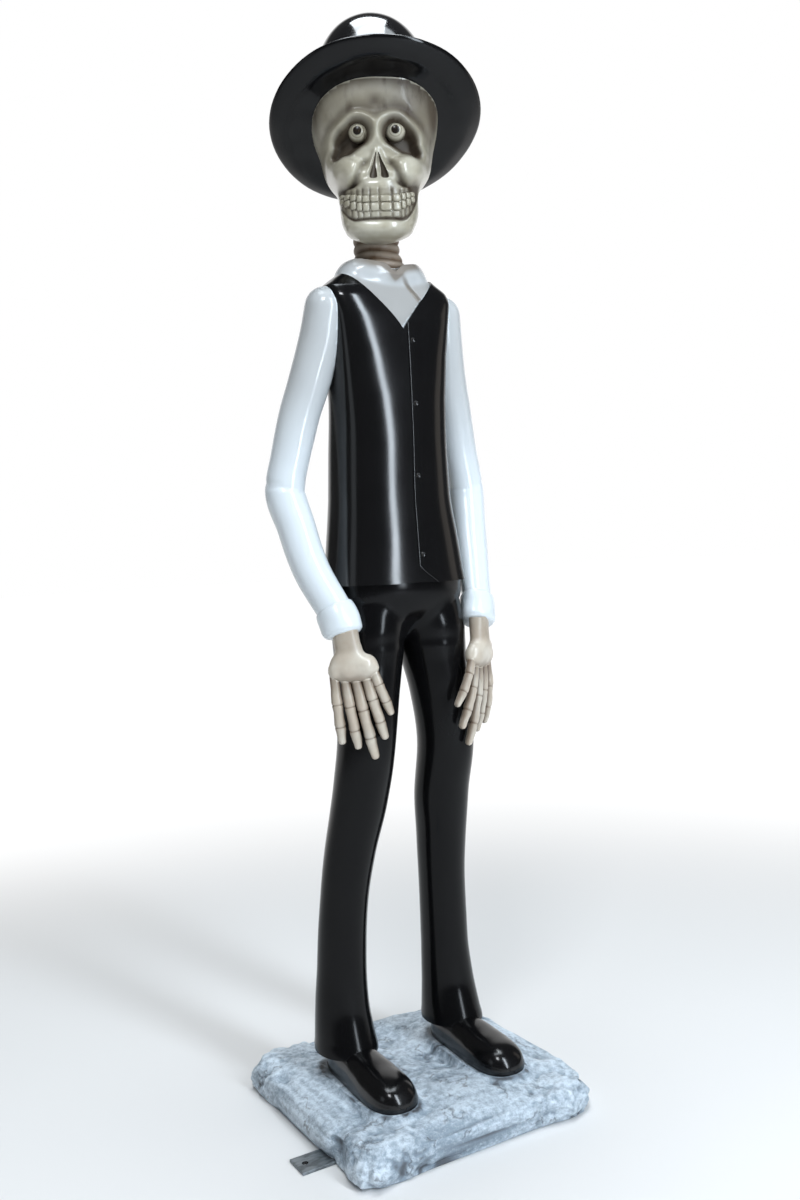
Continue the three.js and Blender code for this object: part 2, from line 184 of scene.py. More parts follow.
class Socket:
    """A shader value that Python arithmetic can work on."""

    def __init__(self, tree: "NodeTree", source: "bpy.types.NodeSocket | float") -> None:
        """Wraps a node's output or a plain number."""
        self.tree = tree
        self.source = source

    def maths(self, operation: str, *others: "Socket | float") -> "Socket":
        """A Math node over this value and others."""
        return self.tree.node("ShaderNodeMath", {"operation": operation}, [self, *others])

    def __add__(self, other: "Socket | float") -> "Socket":
        """Sum."""
        return self.maths("ADD", other)

    def __radd__(self, other: float) -> "Socket":
        """Sum, with the number first."""
        return self.maths("ADD", other)

    def __sub__(self, other: "Socket | float") -> "Socket":
        """Difference."""
        return self.maths("SUBTRACT", other)

    def __rsub__(self, other: float) -> "Socket":
        """Difference, with the number first."""
        return Socket(self.tree, other).maths("SUBTRACT", self)

    def __mul__(self, other: "Socket | float") -> "Socket":
        """Product."""
        return self.maths("MULTIPLY", other)

    def __rmul__(self, other: float) -> "Socket":
        """Product, with the number first."""
        return self.maths("MULTIPLY", other)

    def step(self, low: float, high: float) -> "Socket":
        """A smooth rise from 0 to 1 between low and high."""
        values = {"Value": self, "From Min": low, "From Max": high}
        return self.tree.node("ShaderNodeMapRange", {"interpolation_type": "SMOOTHSTEP"}, values)

    def clamp(self) -> "Socket":
        """The value kept between 0 and 1."""
        return self.tree.node("ShaderNodeClamp", {}, {"Value": self})


Value = Socket | float | tuple


class NodeTree:
    """The nodes of a material or of the world."""

    def __init__(self, owner: "bpy.types.Material | bpy.types.World") -> None:
        """Empties the nodes.

        Args:
            owner: The material or world that the nodes belong to.
        """
        owner.use_nodes = True
        self.nodes = owner.node_tree.nodes
        self.links = owner.node_tree.links
        self.nodes.clear()

    def node(
        self, kind: str, settings: dict, values: "Sequence[Value] | dict", out: str | int = 0
    ) -> Socket:
        """Adds a node.

        Args:
            kind: The node's type.
            settings: Properties, which are set first.
            values: Values or links for the inputs, in order or by name.
            out: Which output is wanted.

        Returns:
            The wanted output.
        """
        made = self.nodes.new(kind)
        for key, value in settings.items():
            setattr(made, key, value)
        pairs = values.items() if isinstance(values, dict) else enumerate(values)
        for key, value in pairs:
            value = value.source if isinstance(value, Socket) else value
            if isinstance(value, bpy.types.NodeSocket):
                self.links.new(value, made.inputs[key])
            else:
                made.inputs[key].default_value = value
        return Socket(self, made.outputs[out] if made.outputs else 0.0)


class Shader(NodeTree):
    """One material's nodes."""

    def __init__(self, name: str) -> None:
        """Starts an empty material."""
        self.material = bpy.data.materials.new(name)
        super().__init__(self.material)

    def attribute(self, name: str) -> Socket:
        """A number stored on the mesh's points."""
        return self.node("ShaderNodeAttribute", {"attribute_name": name}, {}, "Fac")

    def place(self) -> Socket:
        """The point's place in the object, in metres."""
        return self.node("ShaderNodeTexCoord", {}, {}, "Object")

    def noise(self, scale: float, detail: float, stretch: tuple = (1, 1, 1)) -> Socket:
        """Cloudy noise.

        Args:
            scale: How many clouds there are to a metre.
            detail: How many finer layers are added.
            stretch: Squeezes the pattern along x, y and z.

        Returns:
            A value from 0 to 1.
        """
        at = self.node("ShaderNodeMapping", {}, {"Vector": self.place(), "Scale": stretch}, "Vector")
        values = {"Vector": at, "Scale": scale, "Detail": detail}
        return self.node("ShaderNodeTexNoise", {}, values, "Fac")

    def blend(self, share: Value, a: Value, b: Value) -> Socket:
        """A colour between a and b."""
        settings = {"data_type": "RGBA"}
        return self.node("ShaderNodeMix", settings, {0: share, 6: a, 7: b}, 2)

    def bump(self, height: Socket, distance: float, strength: float = 1.0) -> Socket:
        """A normal bent by a height, whose full range stands for distance in metres."""
        values = {"Height": height, "Distance": distance, "Strength": strength}
        return self.node("ShaderNodeBump", {}, values, "Normal")

    def finish(self, **values: Value) -> bpy.types.Material:
        """Feeds the surface shader.

        Args:
            values: Values or links for its inputs, with _ for a space in a name.

        Returns:
            The finished material.
        """
        named = {key.replace("_", " "): value for key, value in values.items()}
        surface = self.node("ShaderNodeBsdfPrincipled", {}, named, "BSDF")
        self.node("ShaderNodeOutputMaterial", {}, {"Surface": surface})
        return self.material


Colour = tuple[float, float, float, float]


@dataclass(frozen=True)
class BonePaint:
    """Ivory gloss paint with a brown wash in the hollows, which also carries painted shade."""

    ivory: Colour = (0.56, 0.485, 0.395, 1)
    pale: Colour = (0.66, 0.61, 0.52, 1)
    # The colour of the brown wash, which also stands for painted shade
    wash: Colour = (0.11, 0.065, 0.035, 1)
    roughness: float = 0.29
    coat: float = 0.35
    coat_roughness: float = 0.12
    # How deep the grain of the paint is, in metres
    grain: float = 0.0006

    def make(self, name: str) -> bpy.types.Material:
        """Builds the material.

        Args:
            name: The material's name.

        Returns:
            The material.
        """
        s = Shader(name)
        wash = s.attribute("wash")
        cloud = s.noise(22, 4)
        base = s.blend(cloud.step(0.35, 0.68), self.ivory, self.pale)
        streak = s.noise(60, 5, (1, 1, 0.45)).step(0.5, 0.78)
        dark = (wash * 0.94 + streak * 0.05 + wash * streak * 0.14).clamp()
        colour = s.blend(dark, base, self.wash)
        return s.finish(
            Base_Color=colour,
            Roughness=self.roughness + 0.3 * wash,
            Coat_Weight=self.coat * (1 - wash),
            Coat_Roughness=self.coat_roughness,
            Normal=s.bump(s.noise(90, 3), self.grain, 0.35),
        )


@dataclass(frozen=True)
class GlossPaint:
    """Thick gloss paint over cast cloth, with soft brush waviness."""

    colour: Colour
    worn: Colour
    # Brown grime, which also stands for painted shade on the white clothes
    grime_and_shade: Colour
    gloss: float = 0.48
    roughness: float = 0.17
    wave: float = 0.0005

    def make(self, name: str) -> bpy.types.Material:
        """Builds the material.

        Args:
            name: The material's name.

        Returns:
            The material.
        """
        s = Shader(name)
        patches = s.noise(9, 5)
        waves = s.noise(14, 2, (1, 1, 0.4)) + 0.12 * s.noise(160, 3)
        paint = s.blend(patches, self.colour, self.worn)
        return s.finish(
            # Blends in the grime and the painted shade by how dark each point is
            Base_Color=s.blend((s.attribute("wash") * 0.85).clamp(), paint, self.grime_and_shade),
            Roughness=self.roughness * (0.6 + 0.8 * patches),
            Specular_IOR_Level=self.gloss,
            Normal=s.bump(waves, self.wave, 0.5),
        )


@dataclass(frozen=True)
class StonePaint:
    """Cast rock: a blue-grey ground with darker hollows, which also carry painted shade, and a white
    brushing on what stands out.
    """

    ground: Colour = (0.28, 0.35, 0.42, 1)
    # The hollows' dark colour, which also stands for painted shade
    hollow: Colour = (0.075, 0.08, 0.09, 1)
    brushed: Colour = (0.69, 0.78, 0.86, 1)
    roughness: float = 0.6
    # How deep the small flecks are, in metres
    grain: float = 0.0024

    def make(self, name: str) -> bpy.types.Material:
        """Builds the material.

        Args:
            name: The material's name.

        Returns:
            The material.
        """
        s = Shader(name)
        wash = s.attribute("wash")
        cloud = s.noise(12, 3)
        flecks = s.noise(110, 6, (1, 1, 1.6))
        grain = s.noise(380, 3)
        vein = (s.noise(17, 6) - 0.5).maths("ABSOLUTE")
        veins = (1 - vein.step(0.0, 0.024)) * s.noise(24, 2, (1, 1, 1.3)).step(0.5, 0.6)
        hollows = (wash.step(0.62, 1.0) * 0.9 + veins * 0.6).clamp()
        stands = 0.94 - 0.95 * wash + 1.25 * (flecks - 0.5) + 0.7 * (grain - 0.5)
        stands = (stands + 0.5 * (cloud - 0.5)).step(0.1, 1.0)
        rock = s.blend(stands, self.ground, self.brushed)
        return s.finish(
            Base_Color=s.blend(hollows, rock, self.hollow),
            Roughness=self.roughness,
            Normal=s.bump(flecks + 0.4 * grain, self.grain, 0.9),
        )


@dataclass(frozen=True)
class SteelBar:
    """Mill-finished flat bar, dulled by handling."""

    clean: Colour = (0.27, 0.3, 0.32, 1)
    dull: Colour = (0.14, 0.155, 0.165, 1)
    metal: float = 0.75
    # How deep the rolling lines are, in metres
    grain: float = 0.0002

    def make(self, name: str) -> bpy.types.Material:
        """Builds the material.

        Args:
            name: The material's name.

        Returns:
            The material.
        """
        s = Shader(name)
        patches = s.noise(55, 5, (1, 2.5, 1)).step(0.35, 0.7)
        lines = s.noise(700, 2, (0.06, 1, 1))
        return s.finish(
            Base_Color=s.blend(patches, self.clean, self.dull),
            Metallic=self.metal,
            Roughness=0.4 + 0.15 * patches,
            Normal=s.bump(lines, self.grain, 0.4),
        )


@dataclass(frozen=True)
class PupilPaint:
    """Black-brown gloss on the pupils."""

    colour: Colour = (0.012, 0.009, 0.007, 1)
    edge: Colour = (0.07, 0.045, 0.025, 1)
    gloss: float = 0.25
    roughness: float = 0.25

    def make(self, name: str) -> bpy.types.Material:
        """Builds the material.

        Args:
            name: The material's name.

        Returns:
            The material.
        """
        s = Shader(name)
        return s.finish(
            Base_Color=s.blend(s.noise(240, 3).step(0.5, 0.8), self.colour, self.edge),
            Roughness=self.roughness,
            Specular_IOR_Level=self.gloss,
        )


# The black gloss of the hat and clothes: its colour, worn colour, and the colour of its grime and
# painted shade
BLACK_GLOSS = (
    (0.003, 0.003, 0.0034, 1),
    (0.005, 0.005, 0.0055, 1),
    (0.002, 0.002, 0.002, 1),
)


class Paint(Enum):
    """Every finish on the object."""

    BONE = BonePaint()
    # A darker, more olive copy of the bone paint for the head: painted shade under the hat's brim
    SHADED_SKULL = BonePaint(
        ivory=(0.4, 0.37, 0.28, 1),
        pale=(0.5, 0.475, 0.385, 1),
        wash=(0.04, 0.025, 0.013, 1),
        coat=0.65,
    )
    HAT = GlossPaint(*BLACK_GLOSS, gloss=0.24, roughness=0.1)
    CLOTH = GlossPaint(*BLACK_GLOSS, gloss=0.16)
    BLACK = GlossPaint(*BLACK_GLOSS)
    WHITE = GlossPaint(
        colour=(0.74, 0.8, 0.84, 1),
        worn=(0.68, 0.74, 0.78, 1),
        grime_and_shade=(0.16, 0.12, 0.08, 1),
        gloss=0.45,
        roughness=0.2,
    )
    PUPIL = PupilPaint()
    STONE = StonePaint()
    STEEL = SteelBar()

    def material(self) -> bpy.types.Material:
        """The finish's material, made when it is first asked for."""
        return bpy.data.materials.get(self.name) or self.value.make(self.name)


# Closed surfaces


@dataclass
class Shell:
    """A closed surface in millimetres, with its paint and how dark the wash and painted shade lie on
    each point.
    """

    points: Array
    faces: list[Array]
    paint: Paint = Paint.BONE
    wash: Array | None = None

    def moved(self, matrix: Array) -> "Shell":
        """The same surface, turned and moved by a 4 by 4 matrix."""
        points = self.points @ matrix[:3, :3].T + matrix[:3, 3]
        return Shell(points, self.faces, self.paint, self.wash)


def skin(rings: Array, paint: Paint, wash: Array | None = None) -> Shell:
    """Joins rings of points into a closed surface, with a fan over each end.

    Args:
        rings: Points as rings by columns by 3. Each ring turns right-handed about the way that the
            rings advance.
        paint: The surface's paint.
        wash: How dark the wash and painted shade are at each point, as rings by columns.

    Returns:
        The surface.
    """
    count, columns = rings.shape[:2]
    middles = rings[[0, -1]].mean(1)
    points = np.vstack([rings.reshape(-1, 3), middles])
    j, k = np.meshgrid(np.arange(count - 1), np.arange(columns), indexing="ij")
    n = (k + 1) % columns
    low, high = j * columns, (j + 1) * columns
    quads = np.stack([low + k, low + n, high + n, high + k], -1).reshape(-1, 4)
    k = np.arange(columns)
    n = (k + 1) % columns
    top = (count - 1) * columns
    first, last = count * columns, count * columns + 1
    fans = [
        np.stack([np.full(columns, first), n, k], -1),
        np.stack([np.full(columns, last), top + k, top + n], -1),
    ]
    values = np.zeros((count, columns)) if wash is None else wash
    shade = np.concatenate([values.ravel(), values[[0, -1]].mean(1)])
    return Shell(points, [quads, *fans], paint, shade)


def angles(count: int) -> Array:
    """Even angles once around."""
    return np.arange(count) * (2 * math.pi / count)


def power(x: Array, exponent: float) -> Array:
    """x raised to an exponent, keeping its sign."""
    return np.sign(x) * np.abs(x) ** exponent


def even_angles(count: int, square: float, aspect: float) -> Array:
    """Angles whose points lie evenly round a flattened ring.

    Args:
        count: How many points.
        square: How square the ring is, 2 for an ellipse.
        aspect: Its width over its depth.

    Returns:
        The angles.
    """
    fine = np.linspace(0, 2 * math.pi, 2401)
    x, y = power(np.cos(fine), 2 / square) * aspect, power(np.sin(fine), 2 / square)
    run = np.r_[0, np.cumsum(np.hypot(np.diff(x), np.diff(y)))]
    return np.interp(np.arange(count) * run[-1] / count, run, fine)


# Gives a value for each point from the points, their shares along and their angles around
Displace = Callable[[Array, Array, Array], Array]
# Angles off a limb's end at which the rings of its domed end lie
DOME = np.radians(np.linspace(82, 8, 7))


@dataclass
class Limb:
    """A surface lofted through stations [x, y, z, half size along side, half size across it]."""

    stations: Sequence[Sequence[float]]
    side: tuple[float, float, float] = (1, 0, 0)
    count: int = 64
    steps: int = 80
    square: float = 2
    squares: Sequence[float] = ()
    level: bool = False
    round: tuple[float, float] = (0, 0)
    marks: Sequence[float] = ()
    paint: Paint = Paint.BONE

    def place(self, t: Array) -> tuple[Array, Array, Array, Array, Array]:
        """Places the rings.

        Args:
            t: Shares of the way along.

        Returns:
            Centres, the way along, the two directions across, and the half sizes in those two.
        """
        rows = np.array(self.stations, float)
        path, sizes = rows[:, :3], np.column_stack([rows[:, 3:], np.zeros(len(rows))])
        centre = through(path, t)
        along = through(path, np.minimum(t + 1e-3, 1)) - through(path, np.maximum(t - 1e-3, 0))
        if self.level:
            along = np.column_stack([np.zeros((len(along), 2)), np.sign(along[:, 2])])
        along /= np.linalg.norm(along, axis=1, keepdims=True)
        side = np.array(self.side, float)
        u = side - along * (along @ side)[:, None]
        u /= np.linalg.norm(u, axis=1, keepdims=True)
        return centre, along, u, np.cross(along, u), through(sizes, t)[:, :2]

    def rings(self) -> tuple[Array, Array, Array, Array]:
        """The rings, with domed ends.

        Returns:
            The points, each ring's share along, the angles around and the outward directions.
        """
        steps = (-0.03, -0.012, -0.004, 0.004, 0.012, 0.03)
        near = np.ravel([[mark + step for step in steps] for mark in self.marks])
        t = np.unique(np.r_[np.linspace(0, 1, self.steps + 1), near])
        shrink, shift = np.ones_like(t), np.zeros_like(t)
        if self.round[0]:
            t, shrink = np.r_[0 * DOME, t], np.r_[np.cos(DOME), shrink]
            shift = np.r_[-self.round[0] * np.sin(DOME), shift]
        if self.round[1]:
            dome = DOME[::-1]
            t, shrink = np.r_[t, 0 * dome + 1], np.r_[shrink, np.cos(dome)]
            shift = np.r_[shift, self.round[1] * np.sin(dome)]
        centre, along, u, v, size = self.place(t)
        centre = centre + along * (shift * size.min(1))[:, None]
        stations = np.linspace(0, 1, len(self.stations))
        square = np.interp(t, stations, self.squares) if self.squares else self.square + 0 * t
        a = even_angles(self.count, square.mean(), (size[:, 0] / size[:, 1]).mean())
        e = 2 / square[:, None]
        c, s = power(np.cos(a)[None], e)[..., None], power(np.sin(a)[None], e)[..., None]
        spokes = (u * (size[:, :1] * shrink[:, None]))[:, None] * c
        spokes = spokes + (v * (size[:, 1:] * shrink[:, None]))[:, None] * s
        length = np.linalg.norm(spokes, axis=2, keepdims=True)
        return centre[:, None] + spokes, t, a, spokes / np.maximum(length, 1e-6)

    def build(self, displace: Displace | None = None, wash: Displace | None = None) -> Shell:
        """Makes the surface.

        Args:
            displace: Gives how far each point moves outwards, from the points, the share along and
                the angle around.
            wash: Gives how dark the wash and painted shade are, from the same.

        Returns:
            The surface.
        """
        points, t, a, out = self.rings()
        along = np.broadcast_to(t[:, None], points.shape[:2])
        around = np.broadcast_to(a[None], points.shape[:2])
        shade = wash(points, along, around) if wash else None
        if displace:
            points = points + out * displace(points, along, around)[..., None]
        return skin(points, self.paint, shade)


def ellipsoid(
    centre: Sequence[float], half: Sequence[float], square: float, count: int, paint: Paint
) -> Shell:
    """A rounded block: a ball whose sides are flattened as square rises above 2.

    Args:
        centre: Its middle.
        half: Its half sizes.
        square: How square it is, 2 for a ball.
        count: How many points lie round it.
        paint: Its paint.

    Returns:
        The surface, with a wash of painted shade that darkens towards its edges.
    """
    lat = np.linspace(-math.pi / 2 * 0.97, math.pi / 2 * 0.97, count // 2)
    a = angles(count)
    e = 2 / square
    flat = np.abs(np.cos(lat))[:, None] ** e
    x = power(np.cos(a), e)[None] * flat
    y = power(np.sin(a), e)[None] * flat
    z = power(np.sin(lat), e)[:, None] * np.ones_like(x)
    rings = np.stack([x * half[0], y * half[1], z * half[2]], -1) + np.array(centre)
    edge = smooth(np.maximum(np.abs(x), np.abs(z)), 0.72, 1.0)
    return skin(rings, paint, edge)


def mesh_of(shell: Shell, name: str) -> bpy.types.Object:
    """Makes a mesh object in metres, with the surface's paint and each point's wash and painted shade.

    Args:
        shell: The surface.
        name: The object's name.

    Returns:
        The object.
    """
    mesh = bpy.data.meshes.new(name)
    sizes = np.concatenate([np.full(len(f), f.shape[1]) for f in shell.faces])
    corners = np.concatenate([f.ravel() for f in shell.faces])
    mesh.vertices.add(len(shell.points))
    mesh.vertices.foreach_set("co", (shell.points * MM).astype(np.float32).ravel())
    mesh.loops.add(len(corners))
    mesh.loops.foreach_set("vertex_index", corners.astype(np.int32))
    mesh.polygons.add(len(sizes))
    mesh.polygons.foreach_set("loop_start", (np.cumsum(sizes) - sizes).astype(np.int32))
    mesh.materials.append(shell.paint.material())
    mesh.update(calc_edges=True)
    wash = mesh.attributes.new("wash", "FLOAT", "POINT")
    shade = np.zeros(len(shell.points)) if shell.wash is None else shell.wash
    wash.data.foreach_set("value", np.clip(shade, 0, 1).astype(np.float32))
    made = bpy.data.objects.new(name, mesh)
    bpy.context.scene.collection.objects.link(made)
    return made


class Join(Enum):
    """How two solids are combined."""

    UNION = "UNION"
    CUT = "DIFFERENCE"


def combine(base: bpy.types.Object, other: bpy.types.Object, how: Join) -> bpy.types.Object:
    """Combines other into base and deletes other.

    Args:
        base: The mesh object to change.
        other: The mesh object that is joined to it or cut from it.
        how: How they are combined.

    Returns:
        The base.
    """
    step = base.modifiers.new("combine", "BOOLEAN")
    step.operation = how.value
    step.solver = "MANIFOLD"
    step.object = other
    step.material_mode = "TRANSFER"
    graph = bpy.context.evaluated_depsgraph_get()
    result = bpy.data.meshes.new_from_object(base.evaluated_get(graph))
    base.modifiers.clear()
    old = base.data
    base.data = result
    bpy.data.meshes.remove(old)
    spent = other.data
    bpy.data.objects.remove(other)
    bpy.data.meshes.remove(spent)
    return base


def union(parts: Sequence[Shell | bpy.types.Object], name: str) -> bpy.types.Object:
    """Joins surfaces and meshes into one closed mesh object.

    Args:
        parts: What is joined, in order.
        name: The object's name.

    Returns:
        The object.
    """
    made = [mesh_of(p, name) if isinstance(p, Shell) else p for p in parts]
    base = made[0]
    for other in made[1:]:
        combine(base, other, Join.UNION)
    base.name = name
    return base


def read_surface(piece: bpy.types.Object) -> tuple[Array, Array]:
    """Reads a piece's mesh.

    Args:
        piece: The mesh object.

    Returns:
        Its points in metres, and their wash and painted shade.
    """
    mesh = piece.data
    points = np.empty(len(mesh.vertices) * 3, np.float32)
    mesh.vertices.foreach_get("co", points)
    wash = np.empty(len(mesh.vertices), np.float32)
    mesh.attributes["wash"].data.foreach_get("value", wash)
    return points.reshape(-1, 3).astype(float), wash


def write_surface(piece: bpy.types.Object, points: Array, wash: Array) -> None:
    """Moves a piece's points and sets their wash and painted shade anew.

    Args:
        piece: The mesh object to change.
        points: Its points in metres.
        wash: How dark the wash and painted shade are on each.
    """
    piece.data.vertices.foreach_set("co", points.astype(np.float32).ravel())
    piece.data.attributes["wash"].data.foreach_set("value", wash.astype(np.float32))
    piece.data.update()


def soften(piece: bpy.types.Object, weight: Callable[[Array], Array], times: int) -> None:
    """Rounds off the seams between joined surfaces by moving points towards their neighbours.

    Args:
        piece: The mesh object to change.
        weight: Gives each point's share of the movement, from 0 to 1, from points in millimetres.
        times: How often the points move.
    """
    points, wash = read_surface(piece)
    edges = np.empty(len(piece.data.edges) * 2, np.int32)
    piece.data.edges.foreach_get("vertices", edges)
    a, b = edges.reshape(-1, 2).T
    ends, others = np.concatenate([a, b]), np.concatenate([b, a])
    count = np.maximum(np.bincount(ends, minlength=len(points)), 1)[:, None]
    rows = np.column_stack([points, wash])
    step = 0.6
    share = np.clip(weight(points / MM), 0, 1)[:, None] * step
    for _ in range(times):
        sums = [np.bincount(ends, rows[others, column], len(rows)) for column in range(4)]
        rows += share * (np.stack(sums, -1) / count - rows)
    write_surface(piece, rows[:, :3], rows[:, 3])


def mirrored(side: int, stations: Sequence[Sequence[float]]) -> list[list[float]]:
    """Stations of the figure's left side, or their mirror image for side -1."""
    return [[side * x, *rest] for x, *rest in stations]


# The head


@dataclass
class Skull:
    """The skull: level rings whose front carries the carving, then eyes and rows of teeth."""

    z: float = 1600
    turn: float = -27
    columns: int = 156
    rows: int = 136
    square: float = 2.4
    # [height from the head's middle, reach to its left and right, reach forwards, reach back]
    sections: tuple = (
        (-171, 28, 27, 76, -36),
        (-165, 44, 42, 85, -26),
        (-148, 58.5, 55, 92, -6),
        (-130, 65, 59, 94, 10),
        (-108, 66.5, 60, 94, 24),
        (-94, 68, 61.5, 92, 36),
        (-80, 73, 66, 90, 52),
        (-66, 83, 74, 88, 70),
        (-52, 91, 80, 86, 84),
        (-36, 95, 84, 86, 93),
        (-20, 98, 87, 86, 98),
        (15, 106, 98, 92, 104),
        (55, 108, 101, 97, 104),
        (95, 98, 92, 91, 94),
        (125, 68, 62, 56, 68),
    )
    # Each eyeball's middle and the way it looks
    gazes: tuple = (
        ((-26, -68, -4), (-0.18, -0.97, -0.12)),
        ((32.5, -68, -4), (-0.06, -0.98, -0.08)),
    )
    eye: float = 16.4
    # How far each pupil stands proud of its eyeball, and how far it reaches in
    pupil: tuple = (0.25, -4)
    # The open nose: [middle, height, half width, depth], and how far forwards it lies
    nostril: tuple = (
        (2.2, -43, 0.8, 5),
        (3.9, -52, 2.1, 8),
        (6.3, -64, 3.9, 9),
        (8.6, -76, 5.7, 9),
        (9.2, -81, 6.1, 8),
    )
    nostril_y: float = -93
    # Edges between teeth, outwards from the middle, on the right and left sides
    right_gaps: tuple = (0.5, 20.8, 34, 41.5, 49, 55.5)
    left_gaps: tuple = (-0.5, 14.4, 25.6, 34, 43, 51.5, 58.5)
    # [height over the bite, half height, set back] of the upper and the lower teeth
    tooth_rows: tuple = ((5.5, 5.8, 0.0), (-7.0, 7.1, 0.2))
    tooth_depth: float = 5.5
    tooth_inset: float = 2.9
    tooth_wash: float = 0.2
    # Between two heights in the hat's frame the skull is drawn in, from one reach to the other
    tuck_from: float = -10
    tuck_to: float = -1
    tuck_reach: tuple = (128, 98)

    def section(self, z: Array) -> Array:
        """Follows a smooth curve through the sections.

        Args:
            z: Heights from the head's middle.

        Returns:
            Reaches to the left, to the right, forwards and back, as four rows.
        """
        rows = np.array(self.sections, float)
        flat = np.atleast_1d(z)
        heights = rows[:, 0]
        slopes = np.gradient(rows[:, 1:], heights, axis=0)
        i = np.clip(np.searchsorted(heights, flat) - 1, 0, len(heights) - 2)
        span = (heights[i + 1] - heights[i])[:, None]
        t = ((flat - heights[i]) / span[:, 0])[:, None]
        a, b = rows[i, 1:], rows[i + 1, 1:]
        ma, mb = slopes[i] * span, slopes[i + 1] * span
        value = a + t * (ma + t * (3 * (b - a) - 2 * ma - mb + t * (2 * (a - b) + ma + mb)))
        return value.T

    def surface(self, z: Array, angle: Array) -> Array:
        """Places points on the plain skull.

        Args:
            z: Heights from the head's middle.
            angle: Angles from straight ahead.

        Returns:
            One row of x, y, z for each.
        """
        left, right, front, back = self.section(z)
        s, c = np.sin(angle), np.cos(angle)
        x = np.where(s > 0, left, right) * power(s, 2 / self.square)
        y = (back - front) / 2 - (front + back) / 2 * power(c, 2 / self.square)
        return np.stack([x, y, np.broadcast_to(z, x.shape)], -1)

    @staticmethod
    def socket_edge(ax: Array, z: Array) -> Array:
        """Measures from an eye socket: a round that droops to the temple.

        Args:
            ax: Distances from the middle of the face.
            z: Heights from the head's middle.

        Returns:
            Distances outside the socket's edge, less than 0 inside it.
        """
        rounds = (((29.5, -12), 20.5), ((47, -23), 20), ((63, -38), 9))
        edge = np.full(np.broadcast(ax, z).shape, 1e3)
        for (a, ra), (b, rb) in zip(rounds, rounds[1:]):
            dx, dz = b[0] - a[0], b[1] - a[1]
            t = np.clip(((ax - a[0]) * dx + (z - a[1]) * dz) / (dx * dx + dz * dz), 0, 1)
            edge = np.minimum(edge, np.hypot(ax - a[0] - t * dx, z - a[1] - t * dz) - mix(ra, rb, t))
        return edge

    @staticmethod
    def bite(ax: Array) -> Array:
        """Height of the line where the rows of teeth meet."""
        return -120.5 + 20 * np.clip((ax - 18) / 44, 0, 1.2) ** 2

    @staticmethod
    def mouth_foot(ax: Array) -> Array:
        """Height of the groove under the lower teeth."""
        return -146 + 55 * np.clip((ax - 30) / 37, 0, 1.1) ** 2.8

    def sockets(self, ax: Array, z: Array) -> tuple[Array, Array, Array, Array]:
        """Shapes the eye sockets and the rims round them.

        Args:
            ax: Distances from the middle of the face.
            z: Heights from the head's middle.

        Returns:
            Distances outside the socket, shares inside it, shares of its upper rim, and how far
            the face stands out.
        """
        edge = self.socket_edge(ax, z)
        inside = 1 - smooth(edge, -13, 2)
        upper = smooth(z - (-36 - 0.35 * (ax - 40)), -16, 10)
        rim = 6.5 * bell((edge - 7.5) / 5.5) * upper + 1.5 * bell((edge - 4) / 4) * (1 - upper)
        rim = rim - 2.2 * bell((edge - 20) / 6) * upper * smooth(z, -30, 0)
        return edge, inside, upper, -25 * inside + rim

    @staticmethod
    def cheeks(ax: Array, z: Array, inside: Array) -> tuple[Array, Array, Array, Array, Array]:
        """Shapes the cheekbones, the hollows under them and the creases beside the nose.

        Args:
            ax: Distances from the middle of the face.
            z: Heights from the head's middle.
            inside: Shares inside the eye socket.

        Returns:
            How round the cheek is, the shade under it, the crease, and how far the cheek and the
            hollow stand out.
        """
        ball = np.hypot((ax - 51) / 35, (z + 67) / 22.5)
        puff = 1 - smooth(ball, 0.5, 1.12)
        cheek = (14 * puff + 7 * bell(ball / 0.7)) * (1 - 0.7 * inside)
        under = bell((ball - 1.14) / 0.14) * smooth(-z - 0.25 * (ax - 50), 66, 80)
        under = under * smooth(ax, 22, 36)
        hollow = -9 * bell((z + 99) / 11) * smooth(ax, 44, 64)
        run = (-52 - z) / 36
        crease = bell((ax - (19 + 19 * run)) / 6) * smooth(run, -0.15, 0.2)
        crease = crease * (1 - smooth(run, 0.95, 1.3))
        return puff, under, crease, cheek, hollow

    @staticmethod
    def nose(x: Array, ax: Array, z: Array) -> tuple[Array, Array, Array, Array]:
        """Shapes the nose.

        Args:
            x: Places across the face.
            ax: Distances from its middle.
            z: Heights from the head's middle.

        Returns:
            The swelling over the teeth, the bridge, the ridges beside the slots, and the slots.
        """
        muzzle = 6.5 * bell(np.hypot(x / 33, (z + 91) / 13))
        bridge = 7 * bell(x / 10.5) * smooth(z, -48, -20) * (1 - smooth(z, 2, 26))
        down = (-40 - z) / 41
        ridge = 4.5 * bell((ax - 3 - 15 * down) / 4.4) * smooth(down, -0.3, 0.1)
        ridge = ridge * (1 - smooth(down, 0.8, 1.05))
        inner = 0.8 + 4.2 * np.clip(down, 0, 1.2) ** 1.4
        outer = 2.2 + 13.2 * np.clip(down, 0, 1.2)
        slot = smooth(ax - inner, -3, 3) * (1 - smooth(ax - outer, -3, 3))
        slot *= smooth(down, 0.05, 0.16) * (1 - smooth(down, 0.93, 1.03))
        return muzzle, bridge, ridge, slot

